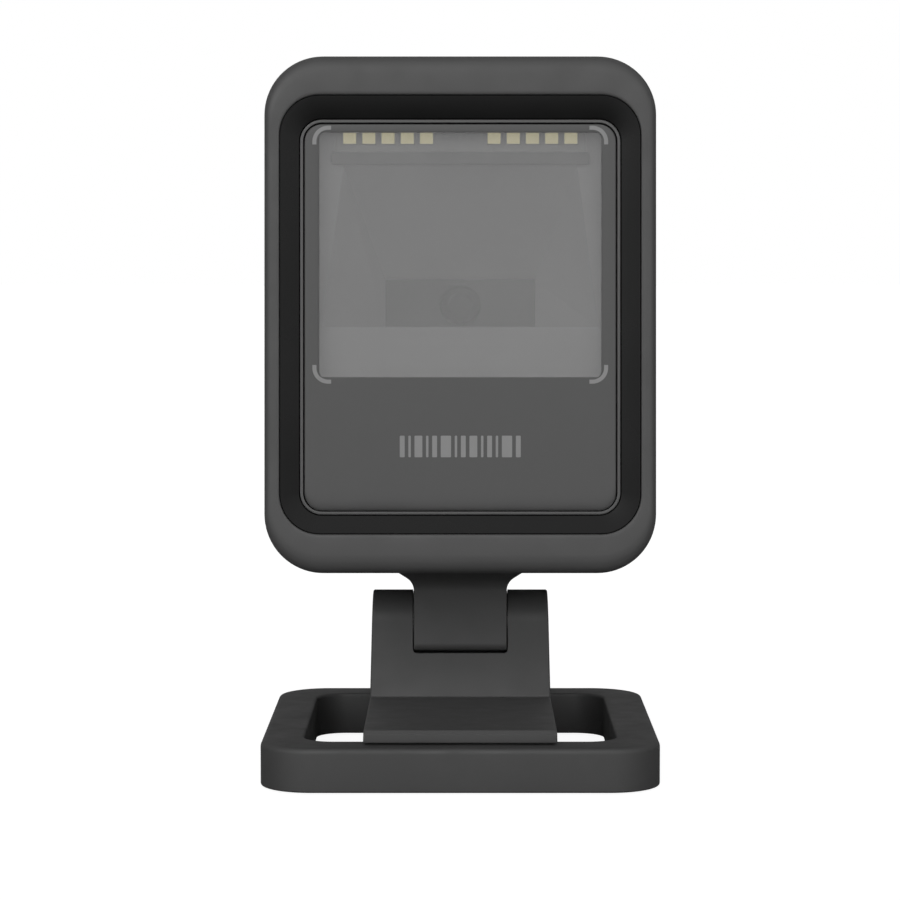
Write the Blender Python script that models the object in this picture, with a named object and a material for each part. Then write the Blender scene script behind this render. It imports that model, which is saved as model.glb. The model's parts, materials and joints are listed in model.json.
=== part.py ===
"""A hands-free presentation barcode scanner: a tilting reading head on a ring-shaped stand.

Metres, +Z up. The origin is at the centre of the footprint, on the surface that the stand
stands on, and the scanner faces -Y. The neck is modelled in the frame of the empty
head_tilt_axis, whose origin is the middle of the hinge axis, and the rest of the head in the
frame of head_frame: in both -Y is the way that the window faces and +Z runs up the face.
"""

import math

import bmesh
import bpy
from mathutils import Matrix, Vector

MM = 0.001
GAP = 0.3 * MM

# The stand.
BASE_WIDTH = 81.4 * MM
BASE_CORNER = 10.5 * MM
BASE_BAR = 8.7 * MM
BASE_TOP = 9.4 * MM
BASE_UNDERSIDE = 0.3 * MM
BASE_HOLE_CORNER = 6.5 * MM
BASE_EDGE = 1.2 * MM
FOOT_PLACE = 33.7 * MM
FOOT_RADIUS = 3.2 * MM
FOOT_THICKNESS = 1.6 * MM

# The bracket that stands on the ring and carries the hinge.
BRACKET_WIDTH = 39.25 * MM
BRACKET_TOP_WIDTH = 37.9 * MM
STRAP_FRONT = -36.9 * MM
STRAP_REAR = 40.0 * MM
STRAP_TOP = 12.3 * MM
REAR_PAD_TOP = 13.9 * MM
REAR_PAD_DEPTH = 8.6 * MM
SLOT_WIDTH = 20.5 * MM
SLOT_CORNER = 0.8 * MM
BAY_RADIUS = 8.6 * MM
CORE_HALF_WIDTH = 16.0 * MM
CORE_HALF_DEPTH = 4.0 * MM
CORE_TOP = 18.2 * MM
BRACKET_SCREW_X = 12.0 * MM

# The tilt hinge.
HINGE_Y = 13.7 * MM
HINGE_Z = 28.5 * MM
HINGE_RADIUS = 6.5 * MM
PIN_RADIUS = 2.0 * MM
PIN_HALF = 17.3 * MM
BOLT_HEAD_RADIUS = 3.0 * MM
BOLT_HEAD_INNER = 15.5 * MM
CAP_RADIUS = 4.0 * MM
CAP_INNER = 17.9 * MM
CAP_OUTER = 18.9 * MM
WASHER_RADIUS = 4.7 * MM
WASHER_THICKNESS = 0.7 * MM
LEAN_BACK = math.radians(3.96)

# Where the head's frame has its origin, seen from the hinge's frame.
HEAD_BEHIND_HINGE = 6.5 * MM
HEAD_BELOW_HINGE = 0.15 * MM

# The neck, which belongs to the head.
NECK_WIDTH = 20.1 * MM
NECK_HALF_DEPTH = 6.5 * MM
NECK_BOTTOM_CORNER = 2.0 * MM
FLARE_START = 6.5 * MM
FLARE_RADIUS = 3.2 * MM
FLARE_ANGLE = math.radians(58)
NECK_SCREW_X = 6.5 * MM

# The head's two shells.
HEAD_WIDTH = 80.0 * MM
HEAD_HEIGHT = 105.55 * MM
HEAD_BOTTOM = 11.95 * MM
HEAD_CORNER = 12.0 * MM
HEAD_MIDDLE = HEAD_BOTTOM + HEAD_HEIGHT / 2
HEAD_WALL = 2.2 * MM
FACE_Y = -50.9 * MM
FACE_EDGE = 2.5 * MM
FACE_THICKNESS = 2.5 * MM
PARTING_Y = -36.8 * MM
BACK_BOTTOM_Y = 15.0 * MM
BACK_TOP_Y = -8.0 * MM
BACK_EDGE = 7.0 * MM
COVER_SCREWS = [(x * MM, z * MM) for z in (20.5, 108.5) for x in (-29.0, 29.0)]
COVER_SCREW_SEAT = -14.0 * MM
COVER_SCREW_TIP = -43.0 * MM

# The black light ring, the rim inside it and the face plate.
RING_WIDTH = 74.0 * MM
RING_HEIGHT = 90.05 * MM
RING_CORNER = 8.2 * MM
RING_MIDDLE = 64.7 * MM
RIM_WIDTH = 65.6 * MM
RIM_HEIGHT = 81.2 * MM
RIM_CORNER = 4.5 * MM
RIM_MIDDLE = 64.1 * MM
RIM_THICKNESS = 0.65 * MM
RIM_FRONT = -49.7 * MM
PANEL_WIDTH = 63.2 * MM
PANEL_HEIGHT = 78.6 * MM
PANEL_CORNER = 3.5 * MM
PANEL_MIDDLE = 64.4 * MM
PANEL_FRONT = -49.3 * MM
PANEL_THICKNESS = 1.2 * MM
CARRIER_FRONT = -45.7 * MM
CARRIER_BACK = -44.5 * MM

# The window and the reading chamber behind it.
WINDOW_WIDTH = 57.6 * MM
WINDOW_HEIGHT = 49.9 * MM
WINDOW_CORNER = 1.1 * MM
WINDOW_MIDDLE = 76.9 * MM
WINDOW_FLANGE = 1.5 * MM
CHAMBER_FRONT = -44.2 * MM
CHAMBER_REAR = -24.0 * MM
CHAMBER_FLOOR = 62.4 * MM
CHAMBER_CEILING = 95.6 * MM
CHAMBER_REAR_TOP = 73.6 * MM
CHAMBER_WALL = 1.2 * MM
CHAMBER_TOP_HALF = 24.0 * MM
CHAMBER_BOTTOM_HALF = 28.4 * MM
CHAMBER_REAR_HALF = 16.0 * MM
LED_ROW_Z = 101.25 * MM
LED_WIDTH = 2.85 * MM
LED_HEIGHT = 2.5 * MM
LED_THICKNESS = 0.9 * MM
LED_PITCH = 3.95 * MM
LED_FIRST_X = 6.95 * MM
LEDS_EACH_SIDE = 5
BAFFLE_WIDTH = 53.0 * MM
BAFFLE_HEIGHT = 2.6 * MM
BAFFLE_MIDDLE = 97.0 * MM
BAFFLE_THICKNESS = 0.8 * MM
LENS_Y = -18.0 * MM
LENS_RADIUS = 4.0 * MM

# The boards and the cable inlet.
MAIN_BOARD_FRONT = -42.2 * MM
BOARD_THICKNESS = 1.6 * MM
SOCKET_WIDTH = 16.0 * MM
SOCKET_FRONT = -8.6 * MM
SOCKET_BACK = 7.9 * MM
SOCKET_FLOOR = 19.4 * MM
SOCKET_TOP = 32.2 * MM
PLUG_WIDTH = 12.0 * MM
PLUG_BOTTOM = 22.5 * MM
PLUG_TOP = 29.5 * MM
PLUG_DEPTH = 11.0 * MM

CORNER_SEGMENTS = 6
ROUND_SEGMENTS = 20
EDGE_SEGMENTS = 3

# Name: colour, roughness, metallic.
FINISHES = {
    "shell_plastic": ((0.098, 0.098, 0.098), 0.55, 0.0),
    "stand_plastic": ((0.065, 0.065, 0.065), 0.55, 0.0),
    "ring_plastic": ((0.014, 0.014, 0.014), 0.20, 0.0),
    "panel_plastic": ((0.103, 0.103, 0.103), 0.40, 0.0),
    "window_glass": ((0.190, 0.190, 0.190), 0.05, 0.0),
    "chamber_plastic": ((0.185, 0.185, 0.185), 0.50, 0.0),
    "mirror_glass": ((0.180, 0.180, 0.180), 0.05, 1.0),
    "board_laminate": ((0.020, 0.110, 0.050), 0.45, 0.0),
    "led_resin": ((0.360, 0.330, 0.240), 0.30, 0.0),
    "black_plastic": ((0.018, 0.018, 0.018), 0.45, 0.0),
    "clear_glass": ((0.050, 0.060, 0.070), 0.03, 0.0),
    "silicon": ((0.040, 0.050, 0.070), 0.15, 0.6),
    "plated_steel": ((0.550, 0.560, 0.570), 0.30, 1.0),
    "rubber": ((0.022, 0.022, 0.022), 0.85, 0.0),
    "flex_film": ((0.350, 0.160, 0.040), 0.40, 0.0),
}


# Scene, materials and objects.

def clear_scene():
    for obj in list(bpy.data.objects):
        bpy.data.objects.remove(obj)


def make_materials():
    made = {}
    for name, (colour, roughness, metallic) in FINISHES.items():
        material = bpy.data.materials.new(name)
        material.use_nodes = True
        shader = material.node_tree.nodes["Principled BSDF"]
        shader.inputs["Base Color"].default_value = (*colour, 1.0)
        shader.inputs["Roughness"].default_value = roughness
        shader.inputs["Metallic"].default_value = metallic
        made[name] = material
    return made


def add_empty(name, location, lean=0.0, parent=None):
    empty = bpy.data.objects.new(name, None)
    bpy.context.collection.objects.link(empty)
    empty.parent = parent
    empty.location = location
    empty.rotation_euler = (lean, 0, 0)
    return empty


def add_object(name, bm, location=(0, 0, 0)):
    bmesh.ops.recalc_face_normals(bm, faces=bm.faces)
    mesh = bpy.data.meshes.new(name)
    bm.to_mesh(mesh)
    bm.free()
    obj = bpy.data.objects.new(name, mesh)
    bpy.context.collection.objects.link(obj)
    obj.location = location
    return obj


def shade_round(obj):
    obj.data.shade_smooth()
    obj.data.set_sharp_from_angle(angle=math.radians(35))


def dress(objects, parent, material):
    """Gives finished pieces their material, and their place in the head's or the stand's frame."""
    for obj in objects:
        obj.data.materials.clear()
        obj.data.materials.append(material)
        shade_round(obj)
        obj.parent = parent


# Outlines: lists of points in a plane, counter-clockwise.

def rounded_outline(width, height, radius, segments=CORNER_SEGMENTS):
    """A rectangle about the origin with each corner an arc."""
    points = []
    for corner, (sx, sz) in enumerate(((1, 1), (-1, 1), (-1, -1), (1, -1))):
        cx = sx * (width / 2 - radius)
        cz = sz * (height / 2 - radius)
        for step in range(segments + 1):
            angle = math.pi / 2 * (corner + step / segments)
            points.append((cx + radius * math.cos(angle), cz + radius * math.sin(angle)))
    return points


def circle_outline(radius, segments=ROUND_SEGMENTS):
    turn = 2 * math.pi / segments
    return [(radius * math.cos(turn * k), radius * math.sin(turn * k)) for k in range(segments)]


def arc_points(centre, radius, start, end, segments):
    """Points along an arc, from one angle to the other in degrees."""
    points = []
    for step in range(segments + 1):
        angle = math.radians(start + (end - start) * step / segments)
        points.append((centre[0] + radius * math.cos(angle), centre[1] + radius * math.sin(angle)))
    return points


# Solids: each ring is a list of 3-D points, and neighbouring rings are joined by faces.

def add_rings(bm, rings):
    return [[bm.verts.new(point) for point in ring] for ring in rings]


def join_rings(bm, first, second):
    count = len(first)
    for k in range(count):
        after = (k + 1) % count
        bm.faces.new((first[k], first[after], second[after], second[k]))


def loft(name, rings):
    """A solid through a chain of rings, with a flat cap on each end."""
    bm = bmesh.new()
    made = add_rings(bm, rings)
    for first, second in zip(made, made[1:]):
        join_rings(bm, first, second)
    bm.faces.new(made[0])
    bm.faces.new(made[-1])
    return add_object(name, bm)


def frame_solid(name, rings):
    """A solid that runs around an opening: the last ring joins the first one."""
    bm = bmesh.new()
    made = add_rings(bm, rings)
    for first, second in zip(made, made[1:] + made[:1]):
        join_rings(bm, first, second)
    return add_object(name, bm)


def face_ring(width, height, radius, y, middle=0.0):
    """A rounded rectangle in a plane that faces along Y, at height middle."""
    return [(x, y, z + middle) for x, z in rounded_outline(width, height, radius)]


def floor_ring(width, radius, z):
    """A rounded square in a level plane."""
    return [(x, y, z) for x, y in rounded_outline(width, width, radius)]


def place_across(points, level, along):
    """Flat points put in the plane across X, Y or Z; their two numbers are the other axes in order."""
    if along == "X":
        return [(level, u, v) for u, v in points]
    if along == "Y":
        return [(u, level, v) for u, v in points]
    return [(u, v, level) for u, v in points]


def prism(name, outline, low, high, along):
    """An outline pushed from low to high along X, Y or Z."""
    return loft(name, [place_across(outline, low, along), place_across(outline, high, along)])


def block(name, low, high):
    """A box between two opposite corners."""
    outline = [(low[0], low[1]), (high[0], low[1]), (high[0], high[1]), (low[0], high[1])]
    return prism(name, outline, low[2], high[2], "Z")


def rod(name, radius, low, high, along, centre=(0.0, 0.0), segments=ROUND_SEGMENTS):
    """A cylinder along X, Y or Z; centre is its place on the other two axes in order."""
    outline = [(u + centre[0], v + centre[1]) for u, v in circle_outline(radius, segments)]
    return prism(name, outline, low, high, along)


def turned(name, profile, along, centre=(0.0, 0.0), bore=0.0, segments=ROUND_SEGMENTS):
    """A round piece from a profile of (radius, place along the axis), with a bore if one is given."""
    if bore:
        profile = profile + [(bore, profile[-1][1]), (bore, profile[0][1])]
    rings = []
    for radius, level in profile:
        points = [(u + centre[0], v + centre[1]) for u, v in circle_outline(radius, segments)]
        rings.append(place_across(points, level, along))
    if bore:
        return frame_solid(name, rings)
    return loft(name, rings)


# Modifiers.

def bevel(obj, width, segments=2, angle=40):
    modifier = obj.modifiers.new("Bevel", "BEVEL")
    modifier.width = width
    modifier.segments = segments
    modifier.limit_method = "ANGLE"
    modifier.angle_limit = math.radians(angle)


def combine(obj, tools, operation):
    """Cuts hidden tools away from a piece, or adds them to it."""
    for tool in tools:
        tool.hide_render = True
        tool.display_type = "WIRE"
        modifier = obj.modifiers.new(tool.name, "BOOLEAN")
        modifier.operation = operation
        modifier.solver = "EXACT"
        modifier.object = tool


def parent_tools(obj):
    """A piece's hidden tools follow it into its frame."""
    for modifier in obj.modifiers:
        if modifier.type == "BOOLEAN":
            modifier.object.parent = obj.parent


# The stand.

def make_base_ring():
    hole = BASE_WIDTH - 2 * BASE_BAR
    rings = [floor_ring(BASE_WIDTH - 1.2 * MM, BASE_CORNER, BASE_UNDERSIDE)]
    for step in range(EDGE_SEGMENTS + 1):
        angle = math.pi / 2 * step / EDGE_SEGMENTS
        inset = BASE_EDGE * (1 - math.cos(angle))
        level = BASE_TOP - BASE_EDGE * (1 - math.sin(angle))
        rings.append(floor_ring(BASE_WIDTH - 2 * inset, BASE_CORNER - inset, level))
    rings.insert(1, floor_ring(BASE_WIDTH, BASE_CORNER, BASE_UNDERSIDE + 0.6 * MM))
    edge = 0.6 * MM
    rings.append(floor_ring(hole + 2 * edge, BASE_HOLE_CORNER + edge, BASE_TOP))
    rings.append(floor_ring(hole, BASE_HOLE_CORNER, BASE_TOP - edge))
    rings.append(floor_ring(hole, BASE_HOLE_CORNER, BASE_UNDERSIDE))
    base = frame_solid("base_ring", rings)
    recess_top = FOOT_THICKNESS + GAP
    tools = []
    for number, (x, y) in enumerate(foot_places(), 1):
        tools.append(rod(f"foot_recess_{number}", FOOT_RADIUS + GAP, 0.0, recess_top, "Z", (x, y)))
    for side, x in bracket_screw_places():
        place = (x, rear_bar_middle())
        tools.append(rod(f"ring_hole_{side}", 1.5 * MM, 0.0, 12 * MM, "Z", place))
        tools.append(rod(f"ring_counterbore_{side}", 2.8 * MM, 0.0, 3.4 * MM, "Z", place))
    combine(base, tools, "DIFFERENCE")
    return base


def foot_places():
    return [(sx * FOOT_PLACE, sy * FOOT_PLACE) for sy in (-1, 1) for sx in (-1, 1)]


def bracket_screw_places():
    return [("left", -BRACKET_SCREW_X), ("right", BRACKET_SCREW_X)]


def rear_bar_middle():
    return (BASE_WIDTH - BASE_BAR) / 2


def make_feet():
    feet = []
    for number, place in enumerate(foot_places(), 1):
        edge = 0.3 * MM
        profile = [(FOOT_RADIUS - edge, 0.0), (FOOT_RADIUS, edge), (FOOT_RADIUS, FOOT_THICKNESS)]
        feet.append(turned(f"foot_pad_{number}", profile, "Z", place))
    return feet


def make_bracket():
    """The strap across the ring, the upright on it and the hinge's two arms, as one moulding."""
    front = HINGE_Y - HINGE_RADIUS
    rear = HINGE_Y + HINGE_RADIUS
    underside = BASE_TOP + GAP
    lip = 0.7 * MM
    pad_front = STRAP_REAR - REAR_PAD_DEPTH
    outline = [
        (STRAP_FRONT, underside),
        (STRAP_REAR, underside),
        (STRAP_REAR, REAR_PAD_TOP),
        (pad_front, REAR_PAD_TOP),
        (pad_front - 1.6 * MM, STRAP_TOP),
        (rear, STRAP_TOP),
    ]
    outline += arc_points((HINGE_Y, HINGE_Z), HINGE_RADIUS, 0, 180, 16)
    outline += [
        (front, STRAP_TOP),
        (STRAP_FRONT + lip, STRAP_TOP),
        (STRAP_FRONT, STRAP_TOP - lip),
    ]
    half = BRACKET_WIDTH / 2
    bracket = prism("stand_bracket", outline, -half, half, "X")
    narrow_upwards(bracket)
    bevel(bracket, 0.5 * MM)
    tab = block("strap_tab", (-15 * MM, -31.4 * MM, 5 * MM), (15 * MM, -28.4 * MM, 10 * MM))
    combine(bracket, [tab], "UNION")
    combine(bracket, bracket_cutters(), "DIFFERENCE")
    return bracket


def narrow_upwards(bracket):
    """The moulding loses width evenly from its underside to the arms' tops, so its sides stay flat."""
    underside = BASE_TOP + GAP
    span = HINGE_Z + HINGE_RADIUS - underside
    loss = 1 - BRACKET_TOP_WIDTH / BRACKET_WIDTH
    for vertex in bracket.data.vertices:
        vertex.co.x *= 1 - loss * (vertex.co.z - underside) / span


def bracket_cutters():
    slot_floor = HINGE_Z - HINGE_RADIUS - 0.1 * MM
    slot_height = 30 * MM
    slot = [(x, z + slot_floor + slot_height / 2) for x, z in
            rounded_outline(SLOT_WIDTH, slot_height, SLOT_CORNER, 4)]
    bay_half = SLOT_WIDTH / 2 + 0.05 * MM
    axis = (HINGE_Y, HINGE_Z)
    core_low = (-CORE_HALF_WIDTH, HINGE_Y - CORE_HALF_DEPTH, 8 * MM)
    core_high = (CORE_HALF_WIDTH, HINGE_Y + CORE_HALF_DEPTH, CORE_TOP)
    tools = [
        prism("neck_slot", slot, HINGE_Y - 12 * MM, HINGE_Y + 12 * MM, "Y"),
        rod("knuckle_bay", BAY_RADIUS, -bay_half, bay_half, "X", axis, 40),
        block("upright_core", core_low, core_high),
        rod("arm_bore", PIN_RADIUS + GAP, -25 * MM, 25 * MM, "X", axis),
    ]
    for side, sign in (("left", -1), ("right", 1)):
        for name, radius, inner in (("nut_recess", BOLT_HEAD_RADIUS + GAP, BOLT_HEAD_INNER - GAP),
                                    ("cap_recess", CAP_RADIUS + GAP, CAP_INNER - GAP)):
            ends = sorted((sign * inner, sign * 25 * MM))
            tools.append(rod(f"{name}_{side}", radius, ends[0], ends[1], "X", axis))
    for side, x in bracket_screw_places():
        place = (x, rear_bar_middle())
        tools.append(rod(f"strap_hole_{side}", 1.5 * MM, 8 * MM, 12.2 * MM, "Z", place))
    return tools


def make_bracket_screws():
    screws = []
    for side, x in bracket_screw_places():
        profile = [(2.5 * MM, 1.5 * MM), (2.5 * MM, 3.1 * MM), (1.2 * MM, 3.1 * MM), (1.2 * MM, 11.8 * MM)]
        screws.append(turned(f"bracket_screw_{side}", profile, "Z", (x, rear_bar_middle())))
    return screws


def make_hinge_bolt():
    profile = [
        (BOLT_HEAD_RADIUS, -PIN_HALF),
        (BOLT_HEAD_RADIUS, -BOLT_HEAD_INNER),
        (PIN_RADIUS, -BOLT_HEAD_INNER),
        (PIN_RADIUS, PIN_HALF),
    ]
    return turned("hinge_bolt", profile, "X", (HINGE_Y, HINGE_Z))


def make_hinge_nut():
    outer = [(HINGE_Y + u, HINGE_Z + v) for u, v in circle_outline(BOLT_HEAD_RADIUS, 6)]
    nut = prism("hinge_nut", outer, BOLT_HEAD_INNER, PIN_HALF, "X")
    bore = rod("nut_bore", PIN_RADIUS + GAP / 2, 14 * MM, 19 * MM, "X", (HINGE_Y, HINGE_Z))
    combine(nut, [bore], "DIFFERENCE")
    return nut


def make_friction_washers():
    washers = []
    inner = SLOT_WIDTH / 2 - GAP - WASHER_THICKNESS
    for side, sign in (("left", -1), ("right", 1)):
        ends = sorted((sign * inner, sign * (inner + WASHER_THICKNESS)))
        profile = [(WASHER_RADIUS, ends[0]), (WASHER_RADIUS, ends[1])]
        bore = PIN_RADIUS + GAP
        washers.append(turned(f"friction_washer_{side}", profile, "X", (HINGE_Y, HINGE_Z), bore))
    return washers


def make_pivot_caps():
    caps = []
    edge = 0.3 * MM
    for side, sign in (("left", -1), ("right", 1)):
        profile = [
            (CAP_RADIUS, sign * CAP_INNER),
            (CAP_RADIUS, sign * (CAP_OUTER - edge)),
            (CAP_RADIUS - edge, sign * CAP_OUTER),
        ]
        caps.append(turned(f"pivot_cap_{side}", profile, "X", (HINGE_Y, HINGE_Z)))
    return caps


def build_stand(materials):
    bracket = make_bracket()
    dress([make_base_ring(), bracket] + make_pivot_caps(), None, materials["stand_plastic"])
    dress(make_feet(), None, materials["rubber"])
    metal = make_bracket_screws() + make_friction_washers() + [make_hinge_bolt(), make_hinge_nut()]
    dress(metal, None, materials["plated_steel"])


# The head's shells.

def head_ring(inset, y):
    """The head's outline drawn in by inset, in a plane across its depth."""
    width = HEAD_WIDTH - 2 * inset
    height = HEAD_HEIGHT - 2 * inset
    return face_ring(width, height, HEAD_CORNER - inset, y, HEAD_MIDDLE)


def back_y(z):
    """How far back the sloping back reaches at a height on the head."""
    share = (z - HEAD_BOTTOM) / HEAD_HEIGHT
    return BACK_BOTTOM_Y + share * (BACK_TOP_Y - BACK_BOTTOM_Y)


def make_front_bezel():
    rings = [face_ring(RING_WIDTH, RING_HEIGHT, RING_CORNER, FACE_Y, RING_MIDDLE)]
    for step in range(EDGE_SEGMENTS + 1):
        angle = math.pi / 2 * step / EDGE_SEGMENTS
        inset = FACE_EDGE * (1 - math.sin(angle))
        rings.append(head_ring(inset, FACE_Y + FACE_EDGE * (1 - math.cos(angle))))
    rings.append(head_ring(0.0, PARTING_Y))
    rings.append(head_ring(HEAD_WALL, PARTING_Y))
    rings.append(head_ring(HEAD_WALL, FACE_Y + FACE_THICKNESS))
    inner_face = FACE_Y + FACE_THICKNESS
    rings.append(face_ring(RING_WIDTH, RING_HEIGHT, RING_CORNER, inner_face, RING_MIDDLE))
    bezel = frame_solid("front_bezel", rings)
    combine(bezel, bezel_bosses(), "UNION")
    holes = []
    for number, place in enumerate(COVER_SCREWS, 1):
        holes.append(rod(f"bezel_hole_{number}", 1.5 * MM, -43.5 * MM, -30 * MM, "Y", place))
    combine(bezel, holes, "DIFFERENCE")
    return bezel


def bezel_bosses():
    """Posts for the cover's screws, each with a rib to the side wall."""
    front = CARRIER_BACK + GAP
    tools = []
    for number, (x, z) in enumerate(COVER_SCREWS, 1):
        side = math.copysign(1.0, x)
        tools.append(rod(f"bezel_boss_{number}", 3.3 * MM, front, PARTING_Y, "Y", (x, z)))
        ends = sorted((x + side * 1.9 * MM, side * (HEAD_WIDTH / 2 - HEAD_WALL / 2)))
        low = (ends[0], front + 0.2 * MM, z - 1.2 * MM)
        high = (ends[1], PARTING_Y - 0.2 * MM, z + 1.2 * MM)
        tools.append(block(f"bezel_rib_{number}", low, high))
    return tools


def cover_rings(inset, start):
    """Rings of the cover's outer or inner surface, from its rim to its sloping back."""
    rings = [head_ring(inset, start)]
    radius = BACK_EDGE - inset
    steps = EDGE_SEGMENTS + 2
    for step in range(steps + 1):
        angle = math.pi / 2 * step / steps
        flat = head_ring(inset + radius * (1 - math.cos(angle)), 0.0)
        reach = inset + radius * (1 - math.sin(angle))
        rings.append([(x, back_y(z) - reach, z) for x, _, z in flat])
    return rings


def make_rear_cover():
    start = PARTING_Y + GAP
    rings = list(reversed(cover_rings(HEAD_WALL, start))) + cover_rings(0.0, start)
    cover = loft("rear_cover", rings)
    posts = []
    holes = []
    for number, (x, z) in enumerate(COVER_SCREWS, 1):
        reach = back_y(z) - HEAD_WALL / 2
        posts.append(rod(f"cover_post_{number}", 4.0 * MM, start, reach, "Y", (x, z)))
        holes.append(rod(f"cover_hole_{number}", 1.5 * MM, -40 * MM, 20 * MM, "Y", (x, z)))
        holes.append(rod(f"cover_recess_{number}", 2.8 * MM, COVER_SCREW_SEAT, 20 * MM, "Y", (x, z)))
    combine(cover, posts, "UNION")
    combine(cover, holes + cover_openings(), "DIFFERENCE")
    return cover


def cover_openings():
    """The cable inlet's window, the beeper's slots and the two holes for the neck's screws."""
    margin = 0.8 * MM
    half = PLUG_WIDTH / 2 + margin
    tools = [block("inlet_window", (-half, 0, PLUG_BOTTOM - margin), (half, 30 * MM, PLUG_TOP + margin))]
    for number in range(5):
        slot = rounded_outline(18 * MM, 1.4 * MM, 0.65 * MM, 2)
        level = 78 * MM + number * 3.4 * MM
        outline = [(x, z + level) for x, z in slot]
        tools.append(prism(f"sound_slot_{number + 1}", outline, -10 * MM, 20 * MM, "Y"))
    for side, x in neck_screw_places():
        place = (x, -HEAD_BEHIND_HINGE)
        tools.append(rod(f"floor_hole_{side}", 1.5 * MM, 8 * MM, 15 * MM, "Z", place))
    return tools


def neck_screw_places():
    return [("left", -NECK_SCREW_X), ("right", NECK_SCREW_X)]


def make_cover_screws():
    head = COVER_SCREW_SEAT + GAP
    screws = []
    for number, place in enumerate(COVER_SCREWS, 1):
        profile = [
            (0.7 * MM, COVER_SCREW_TIP),
            (1.2 * MM, COVER_SCREW_TIP + 1.2 * MM),
            (1.2 * MM, head),
            (2.4 * MM, head),
            (2.4 * MM, head + 1.4 * MM),
        ]
        screws.append(turned(f"cover_screw_{number}", profile, "Y", place, segments=16))
    return screws


def make_neck():
    """A rounded block on the hinge, carried up to a foot that spreads under the head."""
    half = NECK_HALF_DEPTH
    centre = half - NECK_BOTTOM_CORNER
    outline = arc_points((-centre, -centre), NECK_BOTTOM_CORNER, 180, 270, 6)
    outline += arc_points((centre, -centre), NECK_BOTTOM_CORNER, 270, 360, 6)
    outline += [(half, FLARE_START + 0.3 * MM), (-half, FLARE_START + 0.3 * MM)]
    neck = prism("neck", outline, -NECK_WIDTH / 2, NECK_WIDTH / 2, "X")
    sunk = 0.6 * MM
    size = (NECK_WIDTH - 2 * sunk, 2 * (half - sunk))
    rings = [[(x, y, FLARE_START - 1.5 * MM) for x, y in rounded_outline(*size, 0.3 * MM, 4)]]
    for spread, level in neck_flare():
        size = (NECK_WIDTH + 2 * spread, 2 * (half + spread))
        rings.append([(x, y, level) for x, y in rounded_outline(*size, 0.4 * MM + spread, 4)])
    combine(neck, [loft("neck_foot", rings)], "UNION")
    axis = (0.0, 0.0)
    inner = SLOT_WIDTH / 2 - 2 * GAP - WASHER_THICKNESS
    tools = []
    for side, x in neck_screw_places():
        tools.append(rod(f"neck_hole_{side}", 1.5 * MM, 4.6 * MM, 14 * MM, "Z", (x, 0.0)))
    for side, sign in (("left", -1), ("right", 1)):
        ends = sorted((sign * inner, sign * 20 * MM))
        tools.append(rod(f"washer_recess_{side}", WASHER_RADIUS + GAP, ends[0], ends[1], "X", axis))
    tools.append(rod("neck_bore", PIN_RADIUS + GAP, -20 * MM, 20 * MM, "X", axis))
    combine(neck, tools, "DIFFERENCE")
    return neck


def neck_flare():
    """Pairs of spread and level: an arc that starts upright, then a straight slope to the head."""
    pairs = []
    steps = 5
    for step in range(1, steps + 1):
        angle = FLARE_ANGLE * step / steps
        pairs.append((FLARE_RADIUS * (1 - math.cos(angle)), FLARE_START + FLARE_RADIUS * math.sin(angle)))
    top = HEAD_BOTTOM - HEAD_BELOW_HINGE - GAP
    spread, level = pairs[-1]
    pairs.append((spread + (top - level) * math.tan(FLARE_ANGLE), top))
    return pairs


def make_neck_screws():
    head = HEAD_BOTTOM - HEAD_BELOW_HINGE + HEAD_WALL + GAP
    screws = []
    for side, x in neck_screw_places():
        profile = [
            (0.7 * MM, 5.0 * MM),
            (1.2 * MM, 6.2 * MM),
            (1.2 * MM, head),
            (2.4 * MM, head),
            (2.4 * MM, head + 1.4 * MM),
        ]
        screws.append(turned(f"neck_screw_{side}", profile, "Z", (x, 0.0), segments=16))
    return screws


# The face: light ring, rim, plate, window.

def make_light_ring():
    """A band around the face that dips a little towards its middle."""
    outer_front = FACE_Y + 0.4 * MM
    inner_front = FACE_Y + 1.1 * MM
    back = CARRIER_FRONT - GAP
    outer = (RING_WIDTH - 2 * GAP, RING_HEIGHT - 2 * GAP, RING_CORNER - GAP)
    inner = (RIM_WIDTH + 2 * GAP, RIM_HEIGHT + 2 * GAP, RIM_CORNER + GAP)
    edge = 0.4 * MM
    rings = [
        face_ring(*outer, outer_front + edge, RING_MIDDLE),
        face_ring(outer[0] - 2 * edge, outer[1] - 2 * edge, outer[2] - edge, outer_front, RING_MIDDLE),
        face_ring(*inner, inner_front, RIM_MIDDLE),
        face_ring(*inner, back, RIM_MIDDLE),
        face_ring(*outer, back, RING_MIDDLE),
    ]
    return frame_solid("light_ring", rings)


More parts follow.
